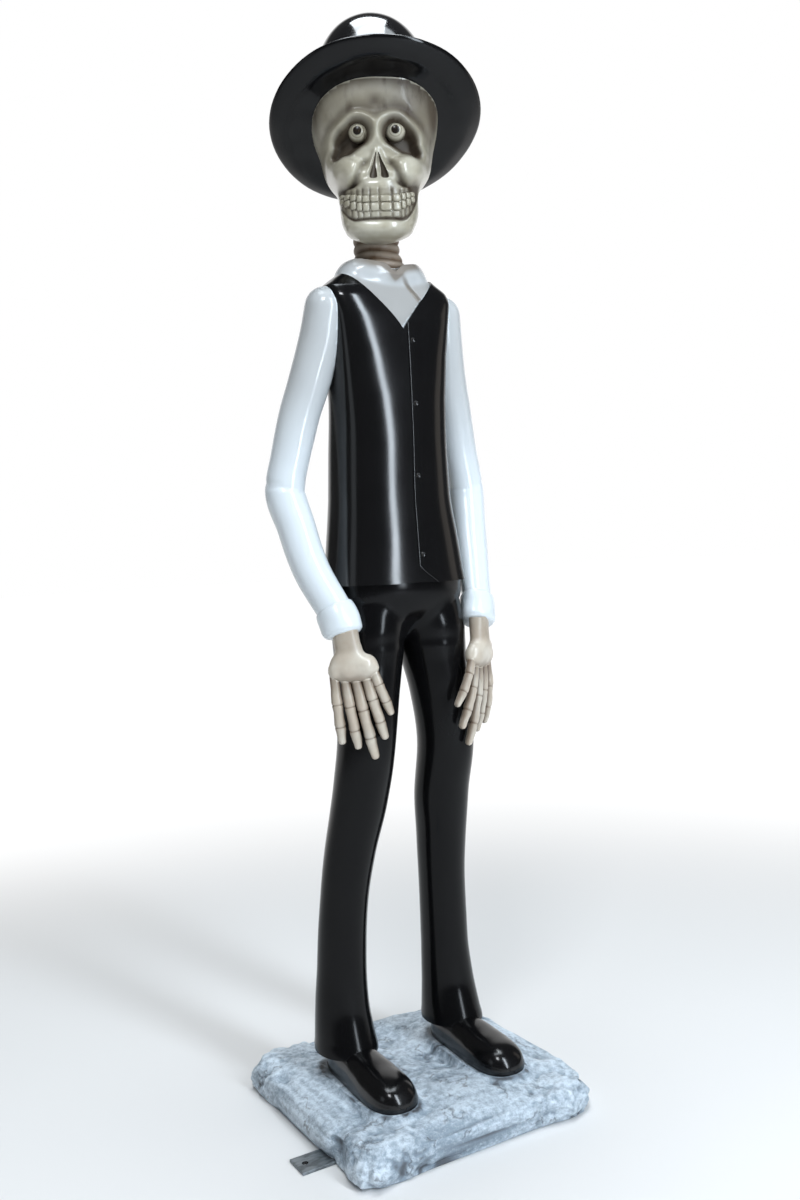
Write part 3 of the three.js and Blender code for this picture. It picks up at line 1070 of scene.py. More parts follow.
    def mouth(self, x: Array, ax: Array, z: Array) -> tuple[Array, Array, Array, Array, Array]:
        """Shapes the mouth.

        Args:
            x: Places across the face.
            ax: Distances from its middle.
            z: Heights from the head's middle.

        Returns:
            The bed of the teeth, the groove under it, the roots, the gaps between them, and the
            corner of the mouth.
        """
        bite, foot = self.bite(ax), self.mouth_foot(ax)
        top = -98 + 8 * smooth(ax, 30, 66)
        bed = smooth(z - foot, -1, 2.5) * (1 - smooth(z - top, -5, 3)) * (1 - smooth(ax, 61, 67))
        groove = bell((z - foot) / 2.6) * (1 - smooth(ax, 64, 72))
        middles = np.r_[self.right_gaps, -np.array(self.left_gaps)]
        between = bell((x[..., None] - middles) / 1.7).max(-1)
        roots = smooth(z - bite, 9.5, 12.5) * (1 - smooth(z - top, -3, 2)) * (1 - smooth(ax, 56, 63))
        lower = smooth(bite - z, 12.5, 15.5) * smooth(z - foot, 1, 4) * (1 - smooth(ax, 50, 57))
        corner = bell(np.hypot((ax - 65) / 8.5, (z + 95) / 9))
        return bed, groove, roots + lower, between, corner

    def carving(self, x: Array, z: Array) -> tuple[Array, Array]:
        """Carves the face, and paints on it a brown wash, stains, and painted shade and light.

        Args:
            x: Places across the face.
            z: Heights from the head's middle.

        Returns:
            How far the face stands out, and how dark the wash and painted shade are.
        """
        ax = np.sqrt(x * x + 6)
        edge, inside, upper, sockets = self.sockets(ax, z)
        puff, under, crease, cheek, hollow = self.cheeks(ax, z, inside)
        muzzle, bridge, ridge, slot = self.nose(x, ax, z)
        bed, groove, roots, between, corner = self.mouth(x, ax, z)
        mark = bell(np.hypot(x / 11, (z - 35) / 9))
        chin = 4 * bell(np.hypot(x / 34, (z + 163) / 11))
        temple = -4 * bell(np.hypot((ax - 92) / 12, (z + 18) / 22))
        stand = sockets + cheek + hollow - 4 * under - 9 * crease + muzzle + bridge + ridge
        stand = stand - 2.5 * slot - 2.2 * mark + chin - 2.2 * bed - 3 * groove - 5 * corner
        stand = stand + temple + roots * (2.4 - 1.9 * between)
        # Brown wash and painted shade in the sockets, the creases, the nose, the mouth and under the
        # cheeks; the mark on the forehead is a stain
        wash = 1.05 * (1 - smooth(edge, -5.5, 1.5)) + 0.75 * crease + 0.5 * slot + 0.4 * mark
        wash = wash + 0.62 * bed + 0.9 * groove + 0.8 * corner + 0.4 * bell((edge - 1) / 3.5)
        wash = wash + 0.6 * under
        # Painted shade under the brim and the chin, on the temples, under the cheeks and round the
        # sockets
        wash = wash + 0.35 * smooth(z, 46, 74) * (1 - smooth(z, 90, 110)) + 0.3 * smooth(-z, 158, 176)
        wash = wash + 0.35 * smooth(ax, 78, 98) + 0.45 * bell((z + 100) / 10) * smooth(ax, 48, 62)
        wash = wash + 0.3 * bell((edge - 19) / 7) * upper * smooth(z, -30, 0)
        wash = wash + 0.35 * bell((ax - 22) / 5) * bell((z + 96) / 9)
        # What stands out is paler: the roots are worn pale, and the cheeks and the muzzle carry painted
        # light
        wash = wash - roots * (0.34 - 0.4 * between) + 0.16 - 0.4 * puff - 0.1 * muzzle / 6.5
        # Painted shade darkens the forehead under the brim, the left side and the lower left cheek;
        # painted light makes the jaw and the sockets' rims paler
        wash = wash + 0.43 * smooth(z, -25, 40) + 0.24 * smooth(x, 5, 60)
        wash = wash + 0.12 * smooth(x, 45, 75) * smooth(-z, 30, 50) - 0.16 * smooth(-z, 90, 150)
        wash = wash - 0.12 * bell((edge - 7) / 5) * upper
        return stand, np.clip(wash, 0, 1)

    def cranium(self) -> Shell:
        """Makes the skull without its eyes and teeth.

        Returns:
            The surface, whose rings lie closer over the face.
        """
        foot, top = self.sections[0][0], self.sections[-1][0]
        fine = np.linspace(foot, top, 601)
        dense = np.cumsum(0.5 + smooth(fine, -160, -148) * (1 - smooth(fine, 18, 34)))
        z = np.interp(np.linspace(dense[0], dense[-1], self.rows + 1), dense, fine)
        even = angles(self.columns) - math.pi
        angle = even - 0.62 * np.sin(even)
        zz, aa = np.meshgrid(z, angle, indexing="ij")
        points = self.surface(zz.ravel(), aa.ravel())
        stand, wash = self.carving(points[:, 0], points[:, 2])
        facing = smooth(np.cos(aa.ravel()), 0.0, 0.4)
        points[:, 1] -= facing * stand
        points[:, 1] -= 0.7 * ripple(points, 46, 1.0) * facing
        shape = (self.rows + 1, self.columns)
        return skin(points.reshape(*shape, 3), Paint.SHADED_SKULL, (wash * facing).reshape(shape))

    @staticmethod
    def round_gaze(
        middle: Sequence[float],
        aim: Sequence[float],
        off: Array,
        radius: Array,
        shade: Array,
        paint: Paint,
    ) -> Shell:
        """Sets rings round the way that an eye looks.

        Args:
            middle: The eyeball's middle.
            aim: The way it looks.
            off: Each ring's angle off the gaze.
            radius: Each ring's distance from the middle.
            shade: Each ring's wash and painted shade.
            paint: The surface's paint.

        Returns:
            The surface.
        """
        gaze = np.array(aim) / np.linalg.norm(aim)
        u = np.cross(gaze, [0, 0, 1])
        u /= np.linalg.norm(u)
        v = np.cross(u, gaze)
        off, a = off[:, None], angles(36)[None]
        rings = (u * np.cos(a)[..., None] + v * np.sin(a)[..., None]) * np.sin(off)[..., None]
        rings = (rings + gaze * np.cos(off)[..., None]) * radius[:, None, None] + np.array(middle)
        return skin(rings[::-1], paint, (shade[:, None] + 0 * a)[::-1])

    def eyes(self) -> list[Shell]:
        """Makes the eyes, each with shaded rings and a black pupil that stands a little proud.

        Returns:
            The eyeballs and the pupils.
        """
        off = np.r_[np.linspace(0.02, 1.0, 20), np.linspace(1.1, 3.1, 10)]
        rise = 0.15 * bell((off - 0.5) / 0.08) - 0.25 * bell((off - 0.66) / 0.05)
        # Painted rings round the pupil, and painted shade towards the eyeball's edge in the socket
        shade = 0.05 + 0.85 * smooth(off, 0.9, 1.4) + 0.5 * bell((off - 0.66) / 0.05)
        shade = shade + 0.6 * bell((off - 0.4) / 0.05)
        cap = np.linspace(0.02, 0.4, 8)
        proud, deep = self.pupil
        radius = self.eye + np.r_[proud + 0 * cap, deep + 0 * cap]
        made = []
        for look in self.gazes:
            made.append(self.round_gaze(*look, off, self.eye + rise, shade, Paint.SHADED_SKULL))
            made.append(self.round_gaze(*look, np.r_[cap, cap[::-1]], radius, 0 * radius, Paint.PUPIL))
        return made

    def tooth(self, side: int, near: float, far: float, row: tuple[float, float, float]) -> Shell:
        """Makes one tooth, turned to follow the jaw.

        Args:
            side: 1 or -1 for the side of the mouth.
            near: Where the tooth starts, outwards from the middle.
            far: Where it ends.
            row: Its height over the bite, its half height and how far it is set back.

        Returns:
            The surface.
        """
        lift, tall, back = row
        x, half = (near + far) / 2, (far - near) / 2
        squeeze = 1 - 0.42 * smooth(x, 34, 60)
        z = float(self.bite(np.array(x)) + lift * squeeze)
        width = self.section(np.array([z]))[0 if side > 0 else 1, 0]
        angle = side * math.asin(min(1.0, x / width) ** (self.square / 2))
        at = self.surface(np.array([z]), np.array([angle]))[0] * [side, 1, 1]
        ahead = self.surface(np.array([z]), np.array([angle + side * 0.02]))[0] * [side, 1, 1]
        slope = math.atan2(ahead[1] - at[1], ahead[0] - at[0])
        stretch = half / max(math.cos(slope), 0.55)
        sizes = (stretch, self.tooth_depth, tall * squeeze)
        block = ellipsoid((0, 0, 0), sizes, 3.4, 20, Paint.SHADED_SKULL)
        block.wash = self.tooth_wash + 0.45 * block.wash
        c, s = math.cos(slope), math.sin(slope)
        place = np.eye(4)
        place[:2, :2] = ((c, -s), (s, c))
        place[:3, 3] = (at[0], at[1] + self.tooth_inset + back, z)
        flip = np.diag([side, 1, 1, 1])
        return block.moved(flip @ place @ flip)

    def teeth(self) -> list[Shell]:
        """Makes the upper and lower rows of teeth, which follow the jaw.

        Returns:
            The teeth, from the middle outwards on each side.
        """
        made = []
        for side, gaps in ((1, self.right_gaps), (-1, self.left_gaps)):
            for near, far in zip(gaps, gaps[1:]):
                made += [self.tooth(side, near, far, row) for row in self.tooth_rows]
        return made

    def nostrils(self) -> list[Shell]:
        """Makes the two slots of the open nose, to be cut out.

        Returns:
            The slots.
        """
        shape = {"count": 28, "steps": 24, "square": 2.3, "level": True, "round": (0.6, 0.5)}
        made = []
        for side in (-1, 1):
            rows = [
                (side * x - 0.04 * (z + 40) + 0.5, self.nostril_y, z, half, deep)
                for x, z, half, deep in self.nostril
            ]
            slot = Limb(rows, paint=Paint.SHADED_SKULL, **shape)
            # The slots' walls take the full wash: brown wash and painted shade
            made.append(slot.build(None, lambda p, t, a: 1 + 0 * t))
        return made

    def tucked(self, shell: Shell, hat: "Hat") -> Shell:
        """Draws in under the crown what lies above the brim's underside.

        Args:
            shell: The skull's surface.
            hat: The hat it wears.

        Returns:
            The surface, kept inside the hat.
        """
        matrix = turned(hat.turn, hat.tilt, hat.at)
        local = (shell.points - matrix[:3, 3]) @ matrix[:3, :3]
        height = local[:, 2]
        reach = np.maximum(np.hypot(local[:, 0], local[:, 1]), 1)
        drawn = mix(*self.tuck_reach, smooth(height, self.tuck_from, self.tuck_to))
        limit = np.where(height < self.tuck_from, 1e3, drawn)
        local[:, :2] *= np.minimum(1, limit / reach)[:, None]
        points = local @ matrix[:3, :3].T + matrix[:3, 3]
        return Shell(points, shell.faces, shell.paint, shell.wash)

    def build(self, hat: "Hat") -> bpy.types.Object:
        """Makes the whole skull, turned, set at its height and kept inside the hat.

        Args:
            hat: The hat it wears.

        Returns:
            The mesh object.
        """
        place = turned(self.turn, 0, (0, 0, self.z))
        face = mesh_of(self.tucked(self.cranium().moved(place), hat), "skull")
        for slot in self.nostrils():
            combine(face, mesh_of(slot.moved(place), "slot"), Join.CUT)
        return union([face, *(part.moved(place) for part in [*self.eyes(), *self.teeth()])], "skull")


def turned(turn: float, lean: float, at: Sequence[float]) -> Array:
    """A matrix that leans a shape back, turns it about the vertical (degrees) and moves it."""
    matrix = Matrix.Translation(Vector(at)) @ Matrix.Rotation(math.radians(turn), 4, "Z")
    return np.array(matrix @ Matrix.Rotation(-math.radians(lean), 4, "X"))


@dataclass
class Hat:
    """A brimmed hat, tilted back, with a domed crown and a band."""

    at: tuple = (7, 0, 1634)
    tilt: float = 26
    turn: float = -22.5
    brim: float = 174
    crown: float = 199
    crown_shift: float = 4
    count: int = 90
    rings: int = 92

    def profile(self) -> Array:
        """Runs from under the brim over its edge to the top of the crown.

        Returns:
            Rows of radius and height.
        """
        b, c = self.brim, self.crown
        under = [(1, -12), (60, -12), (94, -12), (106, -11.5), (116, -11), (128, -11), (150, -11)]
        edge = [(b - 7, -5), (b - 1, -1.5), (b + 0.6, 1.5), (b - 1.6, 4.6), (b - 8, 5.4)]
        over = [(150, 1.6), (134, 1.2), (121, 4.5), (116, 9)]
        band = [(114, 14), (112.5, 33), (110.5, 36), (107, 37), (105, 41)]
        crown = [(100, 84), (93, c * 0.62), (82, c * 0.78), (66, c * 0.9)]
        top = [(43, c * 0.975), (20, c * 0.998), (1, c + 1)]
        rows = np.array([(r, 0, z) for r, z in under + edge + over + band + crown + top], float)
        return through(rows, np.linspace(0, 1, self.rings))[:, [0, 2]]

    def build(self) -> bpy.types.Object:
        """Makes the hat with its wavy brim, placed on the head.

        Returns:
            The mesh object.
        """
        rz = self.profile()
        radius, height = rz[:, :1], rz[:, 1:]
        a = angles(self.count)
        x, y = radius * np.cos(a)[None], radius * np.sin(a)[None]
        rings = np.stack([x, y, np.repeat(height, self.count, axis=1)], -1)
        far = smooth(rz[:, 0], 112, self.brim)[:, None]
        rings[..., 2] += far * (2.4 * np.sin(2 * a + 0.6) + 1.2 * np.sin(5 * a))[None]
        rings[..., 2] += 0.6 * ripple(rings, 60, 3.0)
        rings[..., 0] += self.crown_shift * smooth(rz[:, 1], 5, 50)[:, None] * (radius < 115)
        shell = skin(rings, Paint.HAT)
        return mesh_of(shell.moved(turned(self.turn, self.tilt, self.at)), "hat")


@dataclass
class Neck:
    """A stack of rounded neck bones."""

    radius: float = 34.5
    foot: float = 1360
    top: float = 1520
    y: float = 4
    # Inside the collar the neck stands further forwards, and it bends back between two heights
    foot_y: float = -4
    bend: tuple = (1390, 1430)
    pitch: float = 15.4

    def build(self) -> Shell:
        """Makes the neck, which widens where it meets the collar.

        Returns:
            The surface.
        """
        z = np.linspace(self.foot, self.top, 96)[:, None]
        a = angles(54)[None]
        wave = np.abs(np.sin(math.pi * (z - self.foot) / self.pitch + 0.12 * np.sin(a + 1)))
        size = self.radius + 3.6 * wave**0.8 + 5 * bell((z - 1400) / 12)
        middle = mix(self.foot_y, self.y, smooth(z, *self.bend))
        points = np.stack([size * np.cos(a), size * np.sin(a) + middle, z + 0 * a], -1)
        points[..., 2] += 1.2 * np.sin(a * 2 + 1)
        # Painted shade: dark between the bones, over the whole neck under the head, and most towards
        # the jaw
        shade = 0.66 + 0.5 * (1 - wave) + 0.1 * smooth(z, 1412, 1450)
        return skin(points, Paint.BONE, shade)


# Clothes


TORSO = (
    (-1, -9, 880, 119, 86),
    (-1, -6, 950, 111, 82),
    (-1, -3, 1020, 102.5, 78),
    (-1, -5, 1100, 99, 75),
    (0, -9, 1180, 98.5, 68),
    (0, -11, 1250, 101, 62),
    (0, -11, 1310, 106, 57),
    (0, -10, 1340, 112, 50),
    (0, -9, 1356, 112, 46),
    (0, -8, 1370, 97, 43),
    (0, -6, 1392, 66, 40),
)
# How square the body is at each of those stations
BODY_SQUARES = (2.6, 2.6, 2.6, 2.6, 2.7, 3.2, 4.2, 4.4, 3.4, 2.8, 2.6)


@dataclass
class Waistcoat:
    """A black waistcoat with a V neck, a lapped front edge and small buttons."""

    hem: float = 880
    lap: float = 1.7
    lap_width: float = 36
    # Where the lapped edge runs: x at two heights
    edge: tuple = ((-5, 895), (6, 1262))
    # How far the lap's lower corner is cut away, and over what height
    corner: float = 34
    corner_height: float = 27
    button_in: float = 8
    buttons: tuple = (1270, 1168, 1052, 925)
    neck_foot: float = 1288
    neck_half: float = 82
    neck_top: float = 1400

    def body(self) -> Limb:
        """The loft that the cloth follows."""
        return Limb(TORSO, count=112, steps=80, squares=BODY_SQUARES, level=True, paint=Paint.BLACK)

    def front(self, x: Array, z: Array) -> Array:
        """Finds the front surface.

        Args:
            x: Places across.
            z: Heights.

        Returns:
            How far back it lies there.
        """
        t = np.linspace(0, 1, 400)
        centre, _, _, _, size = self.body().place(t)
        height = centre[:, 2]
        square = np.interp(t, np.linspace(0, 1, len(BODY_SQUARES)), BODY_SQUARES)
        rows = (centre[:, 1], size[:, 0], size[:, 1], square)
        middle, half, deep, power_at = (np.interp(z, height, row) for row in rows)
        return middle - deep * (1 - np.clip(np.abs(x) / half, 0, 1) ** power_at) ** (1 / power_at)

    def edge_at(self, z: Array) -> Array:
        """Finds the lapped edge, whose lower corner is cut away.

        Args:
            z: Heights.

        Returns:
            How far across it lies there.
        """
        (low_x, low_z), (high_x, high_z) = self.edge
        line = low_x + (high_x - low_x) * (z - low_z) / (high_z - low_z)
        foot = self.hem + self.corner_height
        share = np.clip((foot - z) / self.corner_height, 0, 1)
        return line + self.corner * share**1.2

    def placket(self) -> Shell:
        """Makes the lapped edge, a thin rounded plate that sinks into the cloth on one side.

        Returns:
            The surface.
        """
        z = np.linspace(self.hem - 1, self.neck_foot + 14, 110)[:, None]
        across = np.r_[0, 0, 0.5, 1.4, 3, 6, 12, 20, 28, self.lap_width][None]
        rise = np.r_[-3, 0.55, 0.86, 1, 1, 0.96, 0.8, 0.45, 0, -0.8][None] * self.lap
        x = self.edge_at(z) + across
        outer = np.stack([x, self.front(x, z) - rise, z + 0 * x], -1)
        inner = outer[:, [-1, 0]] + [0, 9, 0]
        return skin(np.concatenate([outer, inner], 1), Paint.BLACK)

    def button(self, z: float) -> Shell:
        """Makes a small domed button with a raised rim.

        Args:
            z: Its height.

        Returns:
            The surface.
        """
        x = float(self.edge_at(np.array(z))) + self.button_in
        y = float(self.front(np.array(x), np.array(z))) - self.lap
        radius = np.array([0.2, 2.4, 3.6, 4.2, 4.4, 4.1, 3.5, 2.6, 1.5, 0.2])[:, None]
        depth = np.array([2, 2, 2, 1.4, 0, -1.4, -1.9, -1.6, -1.0, -1.0])[:, None]
        a = angles(20)[None]
        rings = np.stack([x + radius * np.cos(a), y + depth + 0 * a, z + radius * np.sin(a)], -1)
        return skin(rings, Paint.BLACK)

    def cloth(self, points: Array, along: Array, around: Array) -> Array:
        """A rolled hem and soft waves."""
        return 1.3 * bell((points[..., 2] - 884) / 5) + 0.45 * ripple(points, 130, 0.4)

    def build(self) -> bpy.types.Object:
        """Makes the waistcoat with its neck cut out.

        Returns:
            The mesh object.
        """
        coat = union([self.body().build(self.cloth), self.placket()], "waistcoat")
        foot, half, top = self.neck_foot, self.neck_half, self.neck_top
        t = np.linspace(0, 1, 12)
        edge = np.stack([half * t**1.12, foot + (top - 22 - foot) * t], -1)
        outline = [*edge, (half, top + 20), (-half, top + 20), *(edge[:0:-1] * [-1, 1])]
        rings = np.array([[(x, y, z) for x, z in outline] for y in (0, -120)], float)
        combine(coat, mesh_of(skin(rings, Paint.BLACK), "cut"), Join.CUT)
        for z in self.buttons:
            combine(coat, mesh_of(self.button(z), "button"), Join.UNION)
        return coat


@dataclass
class Shirt:
    """The white shirt: what shows in the V, the collar, the sleeves and the turned-back cuffs."""

    inset: float = 4
    arm: tuple = (
        (108, -8, 1326, 34, 38),
        (116, 0, 1275, 35, 37),
        (134, 13, 1208, 34, 35),
        (151, 24, 1150, 33, 33),
        (166, 30, 1090, 32, 31),
        (176, 32, 1034, 32, 31),
        (169, 16, 980, 31, 29),
        (156, -10, 905, 30, 27),
        (145, -35, 842, 28, 24),
    )
    cuff: tuple = ((146, -31, 847, 30, 26), (139, -43, 827, 31.5, 27), (132.5, -53, 806, 31, 26.5))
    # How much further in and forwards the right forearm swings at its cuff
    swing: tuple = (12, -5)
    across: tuple = (0.855, 0.52, 0)
    square: float = 2.2
    # [height, half width, half depth] of the collar, over its top and down inside
    band: tuple = (
        (1340, 66, 34),
        (1356, 78, 41),
        (1368, 83, 46),
        (1380, 83, 50),
        (1392, 76, 51),
        (1401, 68, 49.5),
        (1405, 61, 47.5),
        (1404, 54, 45),
        (1398, 48, 43),
        (1380, 44, 40),
    )
    collar_y: float = -5
    collar_top: float = 1405
    # The crease of the collar's left leaf, from the notch down to the V
    leaf: tuple = ((19, 1371), (53, 1322))

    def front(self) -> Shell:
        """Makes the shirt inside the V.

        Returns:
            The surface.
        """
        rows = [(x, y, z, a - self.inset, b - self.inset) for x, y, z, a, b in TORSO if z > 1200]
        squares = BODY_SQUARES[-len(rows) :]
        body = Limb(rows, count=230, steps=76, squares=squares, level=True, paint=Paint.WHITE)
        # Painted shade greys the shirt inside the V
        return body.build(lambda p, t, a: 0.4 * ripple(p, 60, 5.0), lambda p, t, a: 0.7 + 0 * t)

    @staticmethod
    def dip(front: Array) -> Array:
        """How far the collar's top dips to its notch, at angles from straight ahead."""
        return 13 * np.clip(1 - front / 1.15, 0, 1) ** 1.1 + 10 * bell(front / 0.13)

    def collar(self) -> Shell:
        """Makes a rounded band round the neck that dips to a notch in front.

        Returns:
            The surface.
        """
        rows = np.array([(a, b, z) for z, a, b in self.band], float)
        line = through(rows, np.linspace(0, 1, 64))
        a = even_angles(200, self.square, 1.6)[None]
        front = np.abs((a - 1.5 * math.pi))
        front = np.minimum(front, 2 * math.pi - front)
        e = 2 / self.square
        x = line[:, :1] * power(np.cos(a), e)
        y = line[:, 1:2] * power(np.sin(a), e) + self.collar_y
        z = line[:, 2:] - smooth(line[:, 2:], 1372, 1402) * self.dip(front)
        # Painted shade greys the whole collar
        return skin(np.stack([x, y, z], -1), Paint.WHITE, 0.47 + 0 * x)

    def creased(self, piece: bpy.types.Object) -> None:
        """Raises the collar's left leaf over the shirt, paints shade along its crease and stains the
        notch.

        Args:
            piece: The neckline's mesh object, which is changed.
        """
        points, stain = read_surface(piece)
        points = points / MM
        x, y, z = points.T
        t, off = beside(x, z, *self.leaf)
        reach = smooth(t, -0.25, 0.1) * (1 - smooth(t, 1.15, 1.4)) * smooth(-y, 5, 20)
        leaf = smooth(off, -2.2, 2.2) * (1 - smooth(off, 18, 48))
        points[:, 1] -= reach * (3.6 * leaf - 1.4 * bell((off + 3.5) / 4))
        notch = bell(np.hypot(x / 12, (z - 1383) / 12)) * smooth(-y, 20, 35)
        front = np.abs(np.arctan2(x, -1.4 * (y - self.collar_y)))
        below = z - (self.collar_top - self.dip(front))
        stain = stain + 0.7 * smooth(below, -19, -2) * (0.3 + 0.7 * smooth(-front, -1.4, -0.2))
        # Painted shade along the crease; brown stains at the notch and by the neck
        grey = np.clip(0.5 * reach * bell((off + 1.4) / 2.8) + 0.9 * notch + stain, 0, 1)
        write_surface(piece, points * MM, grey)

    def neckline(self) -> bpy.types.Object:
        """Makes the front and the collar, rounded into each other.

        Returns:
            The mesh object.
        """

        def seam(p: Array) -> Array:
            """Where the collar stands on the shirt."""
            return smooth(p[:, 2], 1325, 1340) * (1 - smooth(p[:, 2], 1378, 1392))

        piece = union([self.front(), self.collar()], "neckline")
        soften(piece, seam, 40)
        self.creased(piece)
        return piece

    def swung(self, side: int, stations: Sequence[Sequence[float]]) -> list[list[float]]:
        """Swings the right forearm in towards its cuff.

        Args:
            side: 1 for the figure's left arm, -1 for its right.
            stations: The left arm's stations.

        Returns:
            The stations of the arm on that side.
        """
        rows = np.array(mirrored(side, stations), float)
        share = bell((np.minimum(rows[:, 2], 905) - 846) / 38) * (side < 0)
        rows[:, :2] += share[:, None] * np.array(self.swing)
        return rows.tolist()

    def sleeve(self, side: int) -> list[Shell]:
        """Makes a sleeve with its crease at the elbow, and its turned-back cuff.

        Args:
            side: 1 for the figure's left arm, -1 for its right.

        Returns:
            The two surfaces.
        """
        across = (side * self.across[0], self.across[1], 0)

        def elbow(points: Array, along: Array, around: Array) -> Array:
            """Folds the inside of the elbow, with a fuller forearm under it and soft waves.

            Args:
                points: The points.
                along: Their shares along; not used.
                around: Their angles around.

            Returns:
                How far each point stands out.
            """
            inward = 0.5 - 0.5 * np.sin(around - 0.3)
            height = points[..., 2] - 1042 - 7 * np.cos(around)
            fold = -1.8 * bell(height / 4) * (0.25 + 0.75 * inward)
            fuller = 1.3 * smooth(-height, -1, 7) * (1 - smooth(-height, 25, 80)) * (0.3 + 0.7 * inward)
            return fold + fuller + 0.6 * ripple(points, 90, 7.0 + side)

        def band(points: Array, along: Array, around: Array) -> Array:
            """The cuff's rounded edges and soft dents."""
            edge = np.abs(2 * along - 1)
            return 2.0 - 3.4 * edge**9 + 0.9 * ripple(points, 36, 9.0 + side)

        common = {"side": across, "level": False, "paint": Paint.WHITE}
        arm = Limb(self.swung(side, self.arm), count=44, steps=84, round=(1, 0), **common)
        cuff = Limb(self.swung(side, self.cuff), count=48, steps=24, round=(0.12, 0.2), **common)
        # Painted shade: the upper sleeve darker than the forearm, and a dark band where the cuff meets
        # the sleeve
        return [
            arm.build(elbow, lambda p, t, a: 0.45 * smooth(p[..., 2], 1000, 1250)),
            cuff.build(band, lambda p, t, a: 0.55 * (1 - smooth(t, 0.0, 0.06))),
        ]


@dataclass
class Trousers:
    """Black trousers with flared legs."""

    hips: tuple = (
        (0, -9, 778, 14, 8),
        (0, -9, 800, 56, 32),
        (0, -9, 828, 97, 62),
        (0, -9, 860, 113, 80),
        (0, -9, 920, 112, 82),
    )
    leg: tuple = (
        (50, -9, 880, 40, 50),
        (54, -9, 850, 54.5, 67),
        (56.5, -12, 806, 59.5, 68),
        (60.2, -14, 776, 58.2, 61.5),
        (63, -16, 750, 55.2, 57.5),
        (69.5, -20, 700, 51.5, 53),
        (78, -18, 600, 47, 50),
        (82, 8, 510, 47.5, 47),
        (91, 30, 430, 43.5, 44),
        (99, 46, 340, 41, 42),
        (104, 55, 235, 42, 43),
        (107, 54, 165, 46, 48),
        (107, 46, 98, 52, 61),
    )

    def build(self) -> bpy.types.Object:
        """Makes the hips and the two legs, rounded into each other.

        Returns:
            The mesh object.
        """

        def cloth(points: Array, along: Array, around: Array) -> Array:
            """Adds soft waves, fuller knees and a rolled hem.

            Args:
                points: The points.
                along: Their shares along; not used.
                around: Their angles around.

            Returns:
                How far each point stands out.
            """
            z = points[..., 2]
            knee = 1.5 * bell((z - 575) / 38) * (0.5 - 0.5 * np.sin(around))
            hem = 0.9 * bell((z - 104) / 5)
            return 0.5 * ripple(points, 150, 1.0) + knee + hem

        common = {"level": True, "paint": Paint.CLOTH}
        parts = [Limb(self.hips, count=96, steps=36, square=2.3, **common).build(cloth)]
        for side in (-1, 1):
            parts.append(Limb(mirrored(side, self.leg), count=46, steps=100, **common).build(cloth))
        piece = union(parts, "trousers")

        def seam(p: Array) -> Array:
            """Where the legs meet the hips and each other."""
            near = (1 - smooth(np.abs(p[:, 0]), 45, 95)) * smooth(p[:, 2], 772, 790)
            return near * (1 - smooth(p[:, 2], 850, 872))

        soften(piece, seam, 16)
        return piece


@dataclass
class Shoe:
    """A plain black shoe on a thin sole."""

    x: float = 105
    heel: float = 92
    toe: float = -142
    half: float = 41
    instep: float = 52
    toe_height: float = 43
    sole: float = 60.3

    def build(self, side: int) -> Shell:
        """Makes arched sections from heel to toe, flat underneath.

        Args:
            side: 1 for the figure's left shoe, -1 for its right.

        Returns:
            The surface.
        """
        steps, count = 60, 44
        t = ((1 - np.cos(math.pi * np.linspace(0, 1, steps + 1))) / 2)[:, None]
        blunt = mix(4, 5.5, smooth(t, 0.4, 0.8))
        end = np.maximum(0, 1 - np.abs(2 * t - 1) ** blunt) ** 0.47
        half = np.maximum(1.5, self.half * end * (0.88 + 0.14 * smooth(t, 0.3, 0.75)))
        rise = mix(self.instep, self.toe_height, smooth(t, 0.35, 0.8)) * np.maximum(0.06, end)
        a = angles(count)[None]
        c, s = np.cos(a), np.sin(a)
        across = half * power(c, 0.75)
        up = np.where(s > 0, rise * np.maximum(s, 0) ** 0.95, 0)
        # The sole stands a little proud of the upper
        low = np.where(s < -0.01, 0.0, 1.0)
        z = self.sole + low * (up + 7 * (1 - np.abs(s)))
        y = mix(self.heel, self.toe, t) + 0 * a
        height = z - self.sole
        welt = 2.0 * bell((height - 5) / 3.5)
        across = across * (1 + welt / np.maximum(half, 10))
        points = np.stack([side * self.x + across, y, z], -1)
        vamp = np.hypot(across / 46, (y + 8 + 0.016 * across**2) / 7)
        points[..., 2] -= np.where(height > 12, 1.0 * bell(vamp * 1.4) * smooth(height, 14, 30), 0)
        points[..., 2] += np.where(height > 14, 0.6 * ripple(points, 40, 3.0 * side), 0)
        return skin(points, Paint.BLACK)


# Hands


